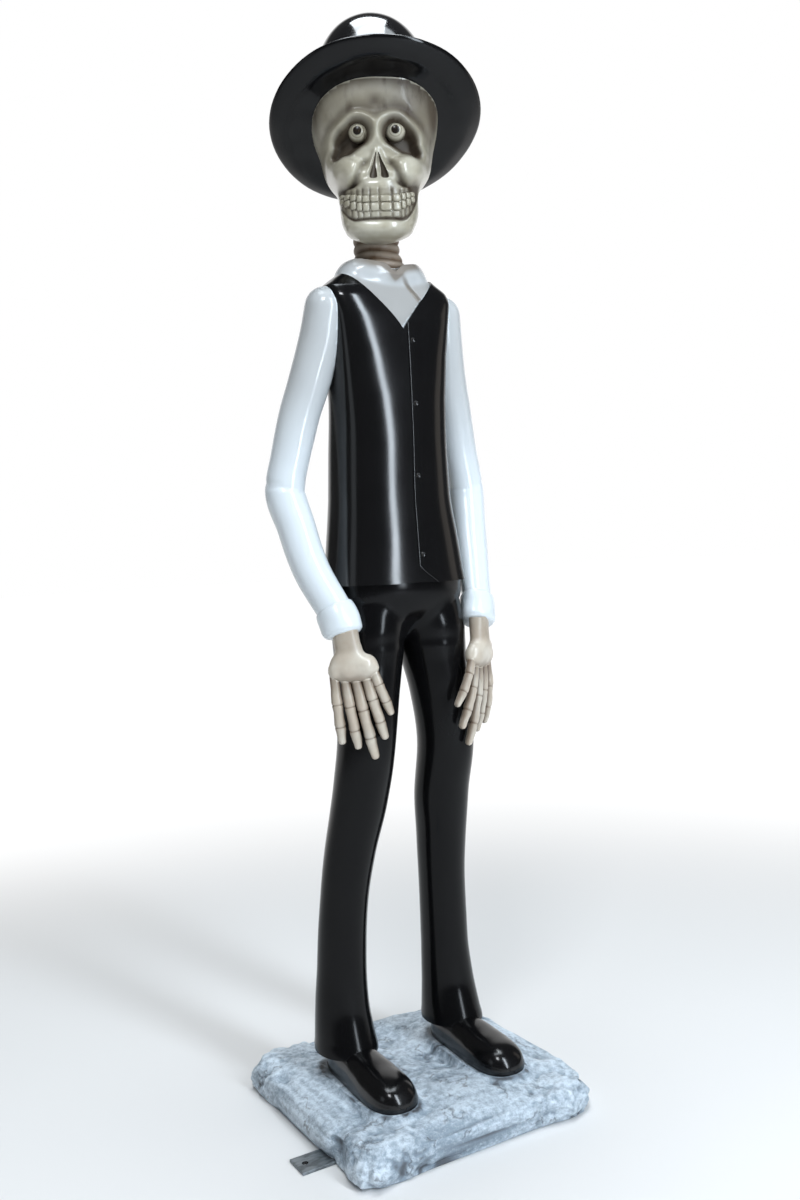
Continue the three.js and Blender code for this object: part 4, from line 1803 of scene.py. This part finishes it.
@dataclass
class Hand:
    """A bone hand: a rounded block of wrist bones and five jointed digits."""

    wrist: tuple = (124, -66, 757)
    across: tuple = (0.855, 0.52)
    # [across, down, off the wrist's middle, half width, half depth] of the palm's stations
    block: tuple = (
        (-7, -58, -2, 21, 15),
        (-4, -36, -1, 21, 14.5),
        (-1, -21, 1, 23, 14.5),
        (2, -8, 2, 35, 16),
        (5, 8, 1, 41, 16),
        (3, 21, -1, 37, 13),
    )
    # [across, down] of root and tip from the wrist, and radius; across grows towards the thumb
    digits: tuple = (
        ((-27, 14), (-19, 122), 8.3),
        ((-11, 14), (6, 131), 8.5),
        ((5, 12), (32, 148), 8.7),
        ((20, 8), (49, 117), 8.5),
        ((30, -4), (60, 79), 8),
    )
    left_fan: float = 1.32
    # [across, down, off, half size] of the round bones at the wrist
    bones: tuple = ((-22, 8, 2, 15), (27, 1, 3, 20), (2, 6, 4, 17))
    # Each digit's stations: shares of the way along and of its radius; and its two joints
    share: tuple = (0, 0.18, 0.39, 0.55, 0.72, 0.88, 1)
    swell: tuple = (0.85, 0.95, 1.02, 0.97, 1.0, 0.93, 0.75)
    joints: tuple = (0.39, 0.72)

    def ways(self, side: int) -> tuple[Array, Array, Array]:
        """Finds the wrist on one side of the figure.

        Args:
            side: 1 for the figure's left hand, -1 for its right.

        Returns:
            The wrist's middle, the way across the palm and the way off it.
        """
        c, s = self.across
        middle = np.array(self.wrist, float) * [side, 1, 1]
        return middle, np.array([-side * c, -s, 0]), np.array([side * s, -c, 0])

    def station(self, side: int, row: Sequence[float]) -> list[float]:
        """Places a station of a loft.

        Args:
            side: 1 for the figure's left hand, -1 for its right.
            row: How far it lies across, down and off the wrist's middle, and its half sizes.

        Returns:
            Its x, y and z, and its half sizes.
        """
        a, down, off, *sizes = row
        middle, across, out = self.ways(side)
        return [*(middle + across * a + out * off + np.array([0, 0, -down])), *sizes]

    def palm(self, side: int) -> bpy.types.Object:
        """Makes the wrist and the palm, with its round bones.

        Args:
            side: 1 for the figure's left hand, -1 for its right.

        Returns:
            The mesh object.
        """
        middle, across, _ = self.ways(side)

        def dirt(points: Array, along: Array, around: Array) -> Array:
            """Brown in the narrow of the wrist and where the fingers start."""
            return 0.32 * (1 - smooth(along, 0.3, 0.5)) + 0.5 * smooth(along, 0.75, 0.95) + 0.06

        def dents(points: Array, along: Array, around: Array) -> Array:
            """Soft dents below the wrist."""
            return 0.9 * ripple(points, 24, 6.0 + side) * smooth(along, 0.4, 0.6)

        rows = [self.station(side, row) for row in self.block]
        shape = {"count": 54, "steps": 40, "square": 2.3, "level": True, "round": (0, 0.5)}
        parts = [Limb(rows, side=tuple(across), **shape).build(dents, dirt)]
        for a, down, off, half in self.bones:
            at = self.station(side, (a, down, off))
            bone = ellipsoid(at, (half, half * 0.8, half * 0.9), 2.1, 28, Paint.BONE)
            bone.wash = 0.08 + 0 * bone.wash
            parts.append(bone)
        palm = union(parts, "palm")
        foot = middle[2] - 30

        def seam(p: Array) -> Array:
            """Where the round bones meet the palm."""
            return smooth(p[:, 2], foot, foot + 8) * (1 - smooth(p[:, 2], foot + 48, foot + 60))

        soften(palm, seam, 14)
        return palm

    def digit(self, side: int, root: Sequence[float], tip: Sequence[float], radius: float) -> Shell:
        """Makes one digit.

        Args:
            side: 1 for the figure's left hand, -1 for its right.
            root: How far across and down it starts.
            tip: How far across and down it ends, before the left hand's fan.
            radius: How thick it is.

        Returns:
            The surface.
        """
        fan = self.left_fan if side > 0 else 1.0
        rows = [
            self.station(
                side,
                (
                    mix(root[0], fan * tip[0], t),
                    mix(root[1], tip[1], t),
                    -8 * t + 6 * math.sin(math.pi * t),
                    radius * w,
                    radius * w * 0.9,
                ),
            )
            for t, w in zip(self.share, self.swell)
        ]

        def lines(points: Array, along: Array, around: Array) -> Array:
            """Raises the knuckles, each with a fine groove across it.

            Args:
                points: The points.
                along: Their shares along.
                around: Their angles around; not used.

            Returns:
                How far each point stands out.
            """
            grooves = sum(bell((along - j) / 0.008) for j in self.joints)
            lumps = sum(0.4 * bell((along - j - d) / 0.03) for j in self.joints for d in (-0.04, 0.04))
            return lumps - 0.9 * grooves + 0.6 * ripple(points, 26, 2.0 + radius)

        def shade(points: Array, along: Array, around: Array) -> Array:
            """Darkens the joints, and paints shade at the root and on the sides.

            Args:
                points: The points; not used.
                along: Their shares along.
                around: Their angles around.

            Returns:
                How dark the wash and painted shade are at each point.
            """
            dark = sum(bell((along - j) / 0.009) for j in self.joints)
            sides = np.abs(np.cos(around)) ** 3
            root_dark = 0.5 * (1 - smooth(along, 0.06, 0.34))
            return 0.5 * dark + root_dark + 0.12 + 0.75 * sides - 0.12 * smooth(along, 0.8, 1)

        shape = {"count": 18, "steps": 26, "round": (0, 0.9), "marks": self.joints}
        return Limb(rows, side=tuple(self.ways(side)[1]), **shape).build(lines, shade)

    def build(self, side: int) -> bpy.types.Object:
        """Makes a whole hand.

        Args:
            side: 1 for the figure's left hand, -1 for its right.

        Returns:
            The mesh object.
        """
        return union([self.palm(side), *(self.digit(side, *row) for row in self.digits)], "hand")


# The whole object


@dataclass
class Figure:
    """The casting: everything that stands on the plinth, as one mesh with a paint for each part."""

    skull: Skull = field(default_factory=Skull)
    hat: Hat = field(default_factory=Hat)
    neck: Neck = field(default_factory=Neck)
    waistcoat: Waistcoat = field(default_factory=Waistcoat)
    shirt: Shirt = field(default_factory=Shirt)
    trousers: Trousers = field(default_factory=Trousers)
    shoe: Shoe = field(default_factory=Shoe)
    hand: Hand = field(default_factory=Hand)
    crease: float = 42

    def build(self) -> bpy.types.Object:
        """Joins every part into one closed mesh and paints it.

        Returns:
            The mesh object.
        """
        lower = [self.trousers.build(), self.shoe.build(-1), self.shoe.build(1)]
        sleeves = [*self.shirt.sleeve(-1), *self.shirt.sleeve(1)]
        parts = [
            union(lower, "lower"),
            self.waistcoat.build(),
            union([self.shirt.neckline(), self.neck.build()], "front"),
            union(sleeves, "sleeves"),
            self.hand.build(-1),
            self.hand.build(1),
            self.skull.build(self.hat),
            self.hat.build(),
        ]
        return dress(union(parts, "figure_casting"), self.crease, "figure")


def dress(piece: bpy.types.Object, crease: float, node: str) -> bpy.types.Object:
    """Smooths a piece up to sharp creases and puts it in place of its CAD node.

    Args:
        piece: The mesh object.
        crease: The angle in degrees above which an edge stays sharp.
        node: The CAD node that it replaces.

    Returns:
        The same object.
    """
    piece.data.polygons.foreach_set("use_smooth", np.ones(len(piece.data.polygons), bool))
    piece.data.set_sharp_from_angle(angle=math.radians(crease))
    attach(piece, "root")
    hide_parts(node)
    return piece


def report(piece: bpy.types.Object) -> None:
    """Logs a piece's name and how many triangles it has."""
    piece.data.calc_loop_triangles()
    LOG.info("%s: %d triangles", piece.name, len(piece.data.loop_triangles))


@dataclass
class Plinth:
    """The rock: worn edges, flat underneath and flat where each shoe stands."""

    half_x: float = 228
    half_y: float = 222
    height: float = 60
    count: int = 560
    crease: float = 60
    # Hollows struck out of the edge: [x, y, z, size, depth]
    struck: tuple = (
        (-80, -222, 46, 26, 9),
        (68, -232, 44, 24, 10),
        (-228, -122, 30, 24, 6),
        (198, -80, 54, 30, 7),
        (-232, -20, 8, 18, 5),
        (150, 224, 40, 30, 8),
        (-110, 226, 48, 26, 8),
        (234, 60, 40, 28, 7),
    )
    # [height, share of the full outline], up the side and in over the top
    # [height, share of the full outline], up the side and in over the top
    rock: tuple = (
        (0, 0.02),
        (0, 0.5),
        (0, 0.9),
        (0, 0.957),
        (3, 0.972),
        (18, 1),
        (36, 0.985),
        (50, 0.94),
        (57, 0.86),
        (60, 0.66),
        (60, 0.4),
        (60, 0.16),
        (60, 0.02),
    )
    # The rows above are laid out at this half width, so that rings are spaced along them evenly
    layout: float = 200
    # Cracks across the top: [x, y] of both ends
    cracks: tuple = (
        ((-224, -74), (-165, -80)),
        ((52, -190), (62, -232)),
        ((20, 40), (70, 20)),
        ((-40, 120), (-150, 150)),
    )
    # Half width of the flat pad under each shoe, and how far it runs on past the shoe's ends
    pad_half: float = 48
    pad_margin: float = 4
    strap_y: float = -88
    groove_half: float = 23.8
    groove_depth: float = 5.3
    groove_end: float = 200.3
    groove_length: float = 500

    def plain(self) -> Array:
        """Makes the rock's rings without their relief.

        Returns:
            Points as rings by columns by 3.
        """
        rows = np.array([[share * self.layout, 0, z] for z, share in self.rock], float)
        lengths = np.r_[0, np.cumsum(np.linalg.norm(np.diff(rows, axis=0), axis=1))]
        side = lengths[-1] - 120
        spread = np.r_[np.linspace(lengths[2], side, 58), np.linspace(side + 4.5, lengths[-1], 30)]
        even = np.interp(np.r_[0, spread], lengths, np.linspace(0, 1, len(rows)))
        line = through(rows, even)
        share, z = line[:, :1] / self.layout, line[:, 2:]
        a = angles(self.count)[None]
        rough = 1 + 0.014 * np.sin(5 * a + 1) + 0.01 * np.sin(9 * a + z / 20) + 0.006 * np.sin(17 * a)
        exponent = 2 / mix(3, 9, smooth(share, 0.3, 0.9))
        x = self.half_x * share * rough * power(np.cos(a), exponent)
        y = self.half_y * share * rough * power(np.sin(a), exponent)
        return np.stack([x, y, z + 0 * a], -1)

    def pads(self, x: Array, y: Array, shoe: Shoe) -> Array:
        """Measures from the flat pads under the shoes.

        Args:
            x: Places across.
            y: Places from front to back.
            shoe: The shoe that stands on each.

        Returns:
            1 on the nearer pad's edge, and less inside it.
        """
        middle = (shoe.heel + shoe.toe) / 2
        reach = (shoe.heel - shoe.toe) / 2 + self.pad_margin
        deep = (np.abs(y - middle) / reach) ** 3
        wide = [(np.abs(x - side * shoe.x) / self.pad_half) ** 3 for side in (-1, 1)]
        return np.minimum(*((share + deep) ** (1 / 3) for share in wide))

    def groove(self) -> bpy.types.Object:
        """Makes the block that cuts the strap's groove and runs out past the rock's edge.

        Returns:
            The mesh object.
        """
        half, end = self.groove_half, self.groove_end
        start = end - self.groove_length
        block = [(start, -half), (end, -half), (end, half), (start, half)]
        heights = (-20, self.groove_depth)
        rings = np.array([[(x, y + self.strap_y, z) for x, y in block] for z in heights], float)
        return mesh_of(skin(rings, Paint.STONE), "groove")

    def build(self, shoe: Shoe) -> bpy.types.Object:
        """Makes the rock, with the groove for the strap cut in its underside.

        Args:
            shoe: The shoe that stands on each flat pad.

        Returns:
            The mesh object.
        """
        x, y, z = np.moveaxis(self.plain(), -1, 0)
        over = smooth(z, 40, 55)
        dip = 3.5 * (1.3 + np.sin(x / 41 + y / 60) + np.sin(y / 33 - x / 90 + 2) / 2)
        pad = self.pads(x, y, shoe)
        near = 1 - smooth(pad, 0.98, 1.16)
        z = z - over * np.maximum(dip, 0) * (1 - near)
        points = np.stack([x, y, z], -1)
        relief, wash = self.texture(points)
        relief = relief * smooth(z, 0.5, 6) * (1 - near)
        outward = np.stack([x, y, 0 * x], -1)
        outward /= np.maximum(np.linalg.norm(outward, axis=-1, keepdims=True), 1)
        lift = np.concatenate([outward[..., :2] * (1 - 0.8 * over[..., None]), over[..., None]], -1)
        points = points + lift * relief[..., None]
        height = points[..., 2]
        kept = np.where(over > 0.5, np.minimum(height, self.height), np.maximum(height, 0))
        points[..., 2] = kept
        # Painted shade round the flat pads under the shoes
        shade = np.clip(wash + 0.35 * bell((pad - 1.0) / 0.05), 0, 1)
        rock = mesh_of(skin(points, Paint.STONE, shade), "plinth_rock")
        combine(rock, self.groove(), Join.CUT)
        return dress(rock, self.crease, "plinth")

    def pits(self, points: Array, chips: Array) -> Array:
        """Strikes the hollows out of the edge.

        Args:
            points: The rock's points.
            chips: The small chips, which break the hollows up.

        Returns:
            How deep they are at each point.
        """
        deep = np.zeros(points.shape[:-1])
        for x, y, z, size, depth in self.struck:
            far = np.linalg.norm((points - [x, y, z]) * [1, 1, 0.8], axis=-1) / size
            deep = np.maximum(deep, depth * bell(far**1.5) * (1 + 0.35 * chips))
        return deep

    def cracked(self, points: Array, top: Array) -> Array:
        """Runs the cracks over the top.

        Args:
            points: The rock's points.
            top: Shares on the top face.

        Returns:
            How deep they are at each point, from 0 to 1.
        """
        deep = np.zeros(points.shape[:-1])
        wander = 5 * lattice(points / 14, 31)
        for start, end in self.cracks:
            t, off = beside(points[..., 0], points[..., 1], start, end)
            line = bell((off + wander) / 2.6) * smooth(t, -0.1, 0.1)
            deep = np.maximum(deep, line * (1 - smooth(t, 0.9, 1.1)) * top)
        return deep

    def texture(self, points: Array) -> tuple[Array, Array]:
        """Chisels the rock.

        Args:
            points: The rock's points.

        Returns:
            How far each stands out, and how dark the wash and painted shade are on it.
        """
        warp = points + 3 * np.stack([roughness(points, 30, 2, s) for s in (11, 12, 13)], -1)
        top = smooth(points[..., 2], 44, 57)
        lumps = roughness(warp, 62, 2, 1)
        dimples = roughness(warp, 24, 2, 5)
        chips = roughness(warp * [1, 1, 1.3], 9.5, 2, 15)
        relief = mix(6.5, 2.6, top) * lumps + mix(5, 1.9, top) * dimples + mix(2.3, 1.1, top) * chips
        pits, cracks = self.pits(points, chips), self.cracked(points, top)
        # The front side is darker: painted shade
        front = smooth(-points[..., 1], 150, 215) * (1 - top)
        wash = 0.42 - 0.26 * chips - 0.24 * dimples - 0.14 * lumps + 0.03 * pits
        wash = wash + 0.55 * cracks + 0.16 * front
        return relief - pits - 2.2 * cracks - mix(2.6, 1.4, top), np.clip(wash, 0, 1)


@dataclass
class Strap:
    """A flat steel bar let into the underside; one end sticks out and has a bolt hole."""

    start: float = -271
    end: float = 200
    y: float = -88
    half: float = 23.5
    thickness: float = 5
    hole_x: float = -256
    hole: float = 4.5
    bevel: float = 0.6
    # How deep the hole's broken edge is, and how far it widens just above the bar
    break_depth: float = 0.7
    break_wide: float = 1.4

    def bore(self, bar: bpy.types.Object, low: tuple[float, float], high: tuple[float, float]) -> None:
        """Cuts a round hole.

        Args:
            bar: The mesh object to change.
            low: The height and radius of the cut's lower end.
            high: Those of its upper end.
        """
        a = angles(48)
        rings = [
            np.stack([self.hole_x + r * np.cos(a), self.y + r * np.sin(a), z + 0 * a], -1)
            for z, r in (low, high)
        ]
        # The cut wall takes the cutter's black paint: painted shade inside the hole
        combine(bar, mesh_of(skin(np.array(rings), Paint.BLACK), "hole"), Join.CUT)

    def build(self) -> bpy.types.Object:
        """Makes the bar with softened edges and its bolt hole.

        Returns:
            The mesh object.
        """
        x0, x1, half = self.start, self.end, self.half
        corners = np.array([(x0, -half), (x1, -half), (x1, half), (x0, half)])
        outward = np.sign(corners - corners.mean(0))
        bevel, top = self.bevel, self.thickness
        rings = []
        for inset, z in ((bevel, 0), (0, bevel), (0, top - bevel), (bevel, top)):
            rings.append([(x, y + self.y, z) for x, y in corners - outward * inset])
        bar = mesh_of(skin(np.array(rings, float), Paint.STEEL), "strap_bar")
        self.bore(bar, (-2, self.hole), (top + 2, self.hole))
        self.bore(bar, (top - self.break_depth, self.hole), (top + 1, self.hole + self.break_wide))
        return dress(bar, 30, "fixing_strap")


# The studio


@dataclass(frozen=True)
class SoftBox:
    """A rectangular area light that faces a point on the figure."""

    name: str
    azimuth: float
    elevation: float
    distance: float
    width: float
    height: float
    power: float
    aim: tuple = (0, 0, 1.0)
    colour: tuple = (1, 1, 1)

    def build(self) -> None:
        """Adds the light."""
        lamp = bpy.data.lights.new(self.name, "AREA")
        lamp.shape = "RECTANGLE"
        lamp.size, lamp.size_y = self.width, self.height
        lamp.energy = self.power
        lamp.color = self.colour
        made = bpy.data.objects.new(self.name, lamp)
        a, e = math.radians(self.azimuth), math.radians(self.elevation)
        back = Vector((math.sin(a) * math.cos(e), -math.cos(a) * math.cos(e), math.sin(e)))
        made.location = Vector(self.aim) + back * self.distance
        made.rotation_euler = (-back).to_track_quat("-Z", "Y").to_euler()
        bpy.context.scene.collection.objects.link(made)


@dataclass
class Studio:
    """The camera at the photograph's angle, soft lights and a plain pale floor."""

    at: tuple = (-0.9473, -1.6099, 0.941)
    yaw: float = -30.78
    pitch: float = -2.80
    roll: float = -2.65
    focal_pixels: float = 1114.35
    long_side: float = 1200
    sensor: float = 36
    floor_size: float = 30
    # How bright the surround is on the near side and behind the figure, and where it changes
    near_glow: float = 0.08
    far_glow: float = 1.0
    glow_edges: tuple = (0.68, 0.82)

    def facing(self) -> tuple[float, float, float]:
        """The level direction in which the photograph was taken."""
        yaw = math.radians(self.yaw)
        return -math.sin(yaw), math.cos(yaw), 0

    def camera(self) -> None:
        """Adds the camera."""
        data = bpy.data.cameras.new("camera")
        data.sensor_width = self.sensor
        data.lens = self.sensor * self.focal_pixels / self.long_side
        made = bpy.data.objects.new("camera", data)
        a, p, r = (math.radians(v) for v in (self.yaw, self.pitch, self.roll))
        ahead = Vector((-math.sin(a) * math.cos(p), math.cos(a) * math.cos(p), math.sin(p)))
        level = Vector((math.cos(a), math.sin(a), 0))
        right = level * math.cos(r) + level.cross(ahead) * math.sin(r)
        up = level.cross(ahead) * math.cos(r) - level * math.sin(r)
        turn = Matrix((right, up, -ahead)).transposed().to_4x4()
        made.matrix_world = Matrix.Translation(Vector(self.at)) @ turn
        bpy.context.scene.collection.objects.link(made)
        bpy.context.scene.camera = made
        bpy.context.scene.view_settings.view_transform = "Standard"

    def lights(self) -> None:
        """Adds the soft boxes."""
        boxes = (
            SoftBox("window", 11, 19, 3.0, 0.44, 3.2, 87, colour=(0.82, 0.91, 1.0)),
            SoftBox("skylight", -16, 86, 3.0, 2.4, 1.2, 58, aim=(0, 0, 1.1), colour=(0.86, 0.94, 1.0)),
            SoftBox(
                "lamp", 152, 79.5, 1.7, 0.86, 0.9, 36, aim=(0, 0, 1.7), colour=(0.9, 0.96, 1.0)
            ),
            SoftBox("front", -40, 46, 2.6, 0.6, 0.6, 27, aim=(0, 0, 1.0), colour=(0.92, 0.96, 1.0)),
            SoftBox("left_fill", -85, 6, 3.4, 1.0, 1.4, 3, colour=(0.85, 0.93, 1.0)),
            SoftBox("right_fill", 72, 12, 3.4, 1.0, 2.0, 3.5, colour=(1.0, 0.9, 0.8)),
        )
        for box in boxes:
            box.build()

    def surround(self) -> None:
        """Adds the white surround, bright behind the figure as the photograph sees it."""
        world = bpy.data.worlds.new("surround")
        bpy.context.scene.world = world
        tree = NodeTree(world)
        way = tree.node("ShaderNodeTexCoord", {}, {}, "Generated")
        ends = [way, self.facing()]
        behind = tree.node("ShaderNodeVectorMath", {"operation": "DOT_PRODUCT"}, ends, "Value")
        low, high = self.glow_edges
        ends = {"Value": behind, "From Min": low, "From Max": high}
        ends |= {"To Min": self.near_glow, "To Max": self.far_glow}
        glow = tree.node("ShaderNodeMapRange", {"interpolation_type": "SMOOTHSTEP"}, ends)
        ends = {"Color": (1, 1, 1, 1), "Strength": glow}
        light = tree.node("ShaderNodeBackground", {}, ends, "Background")
        tree.node("ShaderNodeOutputWorld", {}, {"Surface": light})

    def floor_paint(self) -> bpy.types.Material:
        """Makes the floor's pale paint, which glows behind the figure so that it fades into the
        surround there.

        Returns:
            The material.
        """
        s = Shader("floor")
        ends = {"Vector": s.place()}
        away = s.node("ShaderNodeVectorMath", {"operation": "LENGTH"}, ends, "Value")
        ends = [s.place(), self.facing()]
        behind = s.node("ShaderNodeVectorMath", {"operation": "DOT_PRODUCT"}, ends, "Value")
        glow = away.step(0.5, 2.6) * behind.step(-0.3, 1.8)
        return s.finish(
            Base_Color=s.blend(glow, (0.79, 0.78, 0.77, 1), (0.1, 0.1, 0.1, 1)),
            Roughness=0.9,
            Specular_IOR_Level=0.1,
            Emission_Color=s.blend(glow, (0, 0, 0, 1), (1, 1, 1, 1)),
            Emission_Strength=1.0,
        )

    def floor(self) -> None:
        """Adds the pale floor."""
        mesh = bpy.data.meshes.new("floor")
        r = self.floor_size
        corners = [(-r, -r, 0), (r, -r, 0), (r, r, 0), (-r, r, 0)]
        mesh.from_pydata(corners, [], [(0, 1, 2, 3)])
        mesh.materials.append(self.floor_paint())
        made = bpy.data.objects.new("floor", mesh)
        bpy.context.scene.collection.objects.link(made)


def main() -> None:
    """Builds every piece in order, then the studio."""
    for item in [o for o in bpy.data.objects if o.type in {"CAMERA", "LIGHT"}]:
        bpy.data.objects.remove(item)
    figure = Figure()
    for piece in (figure.build(), Plinth().build(figure.shoe), Strap().build()):
        report(piece)
    studio = Studio()
    studio.camera()
    studio.lights()
    studio.surround()
    studio.floor()


if __name__ == "__main__":
    main()
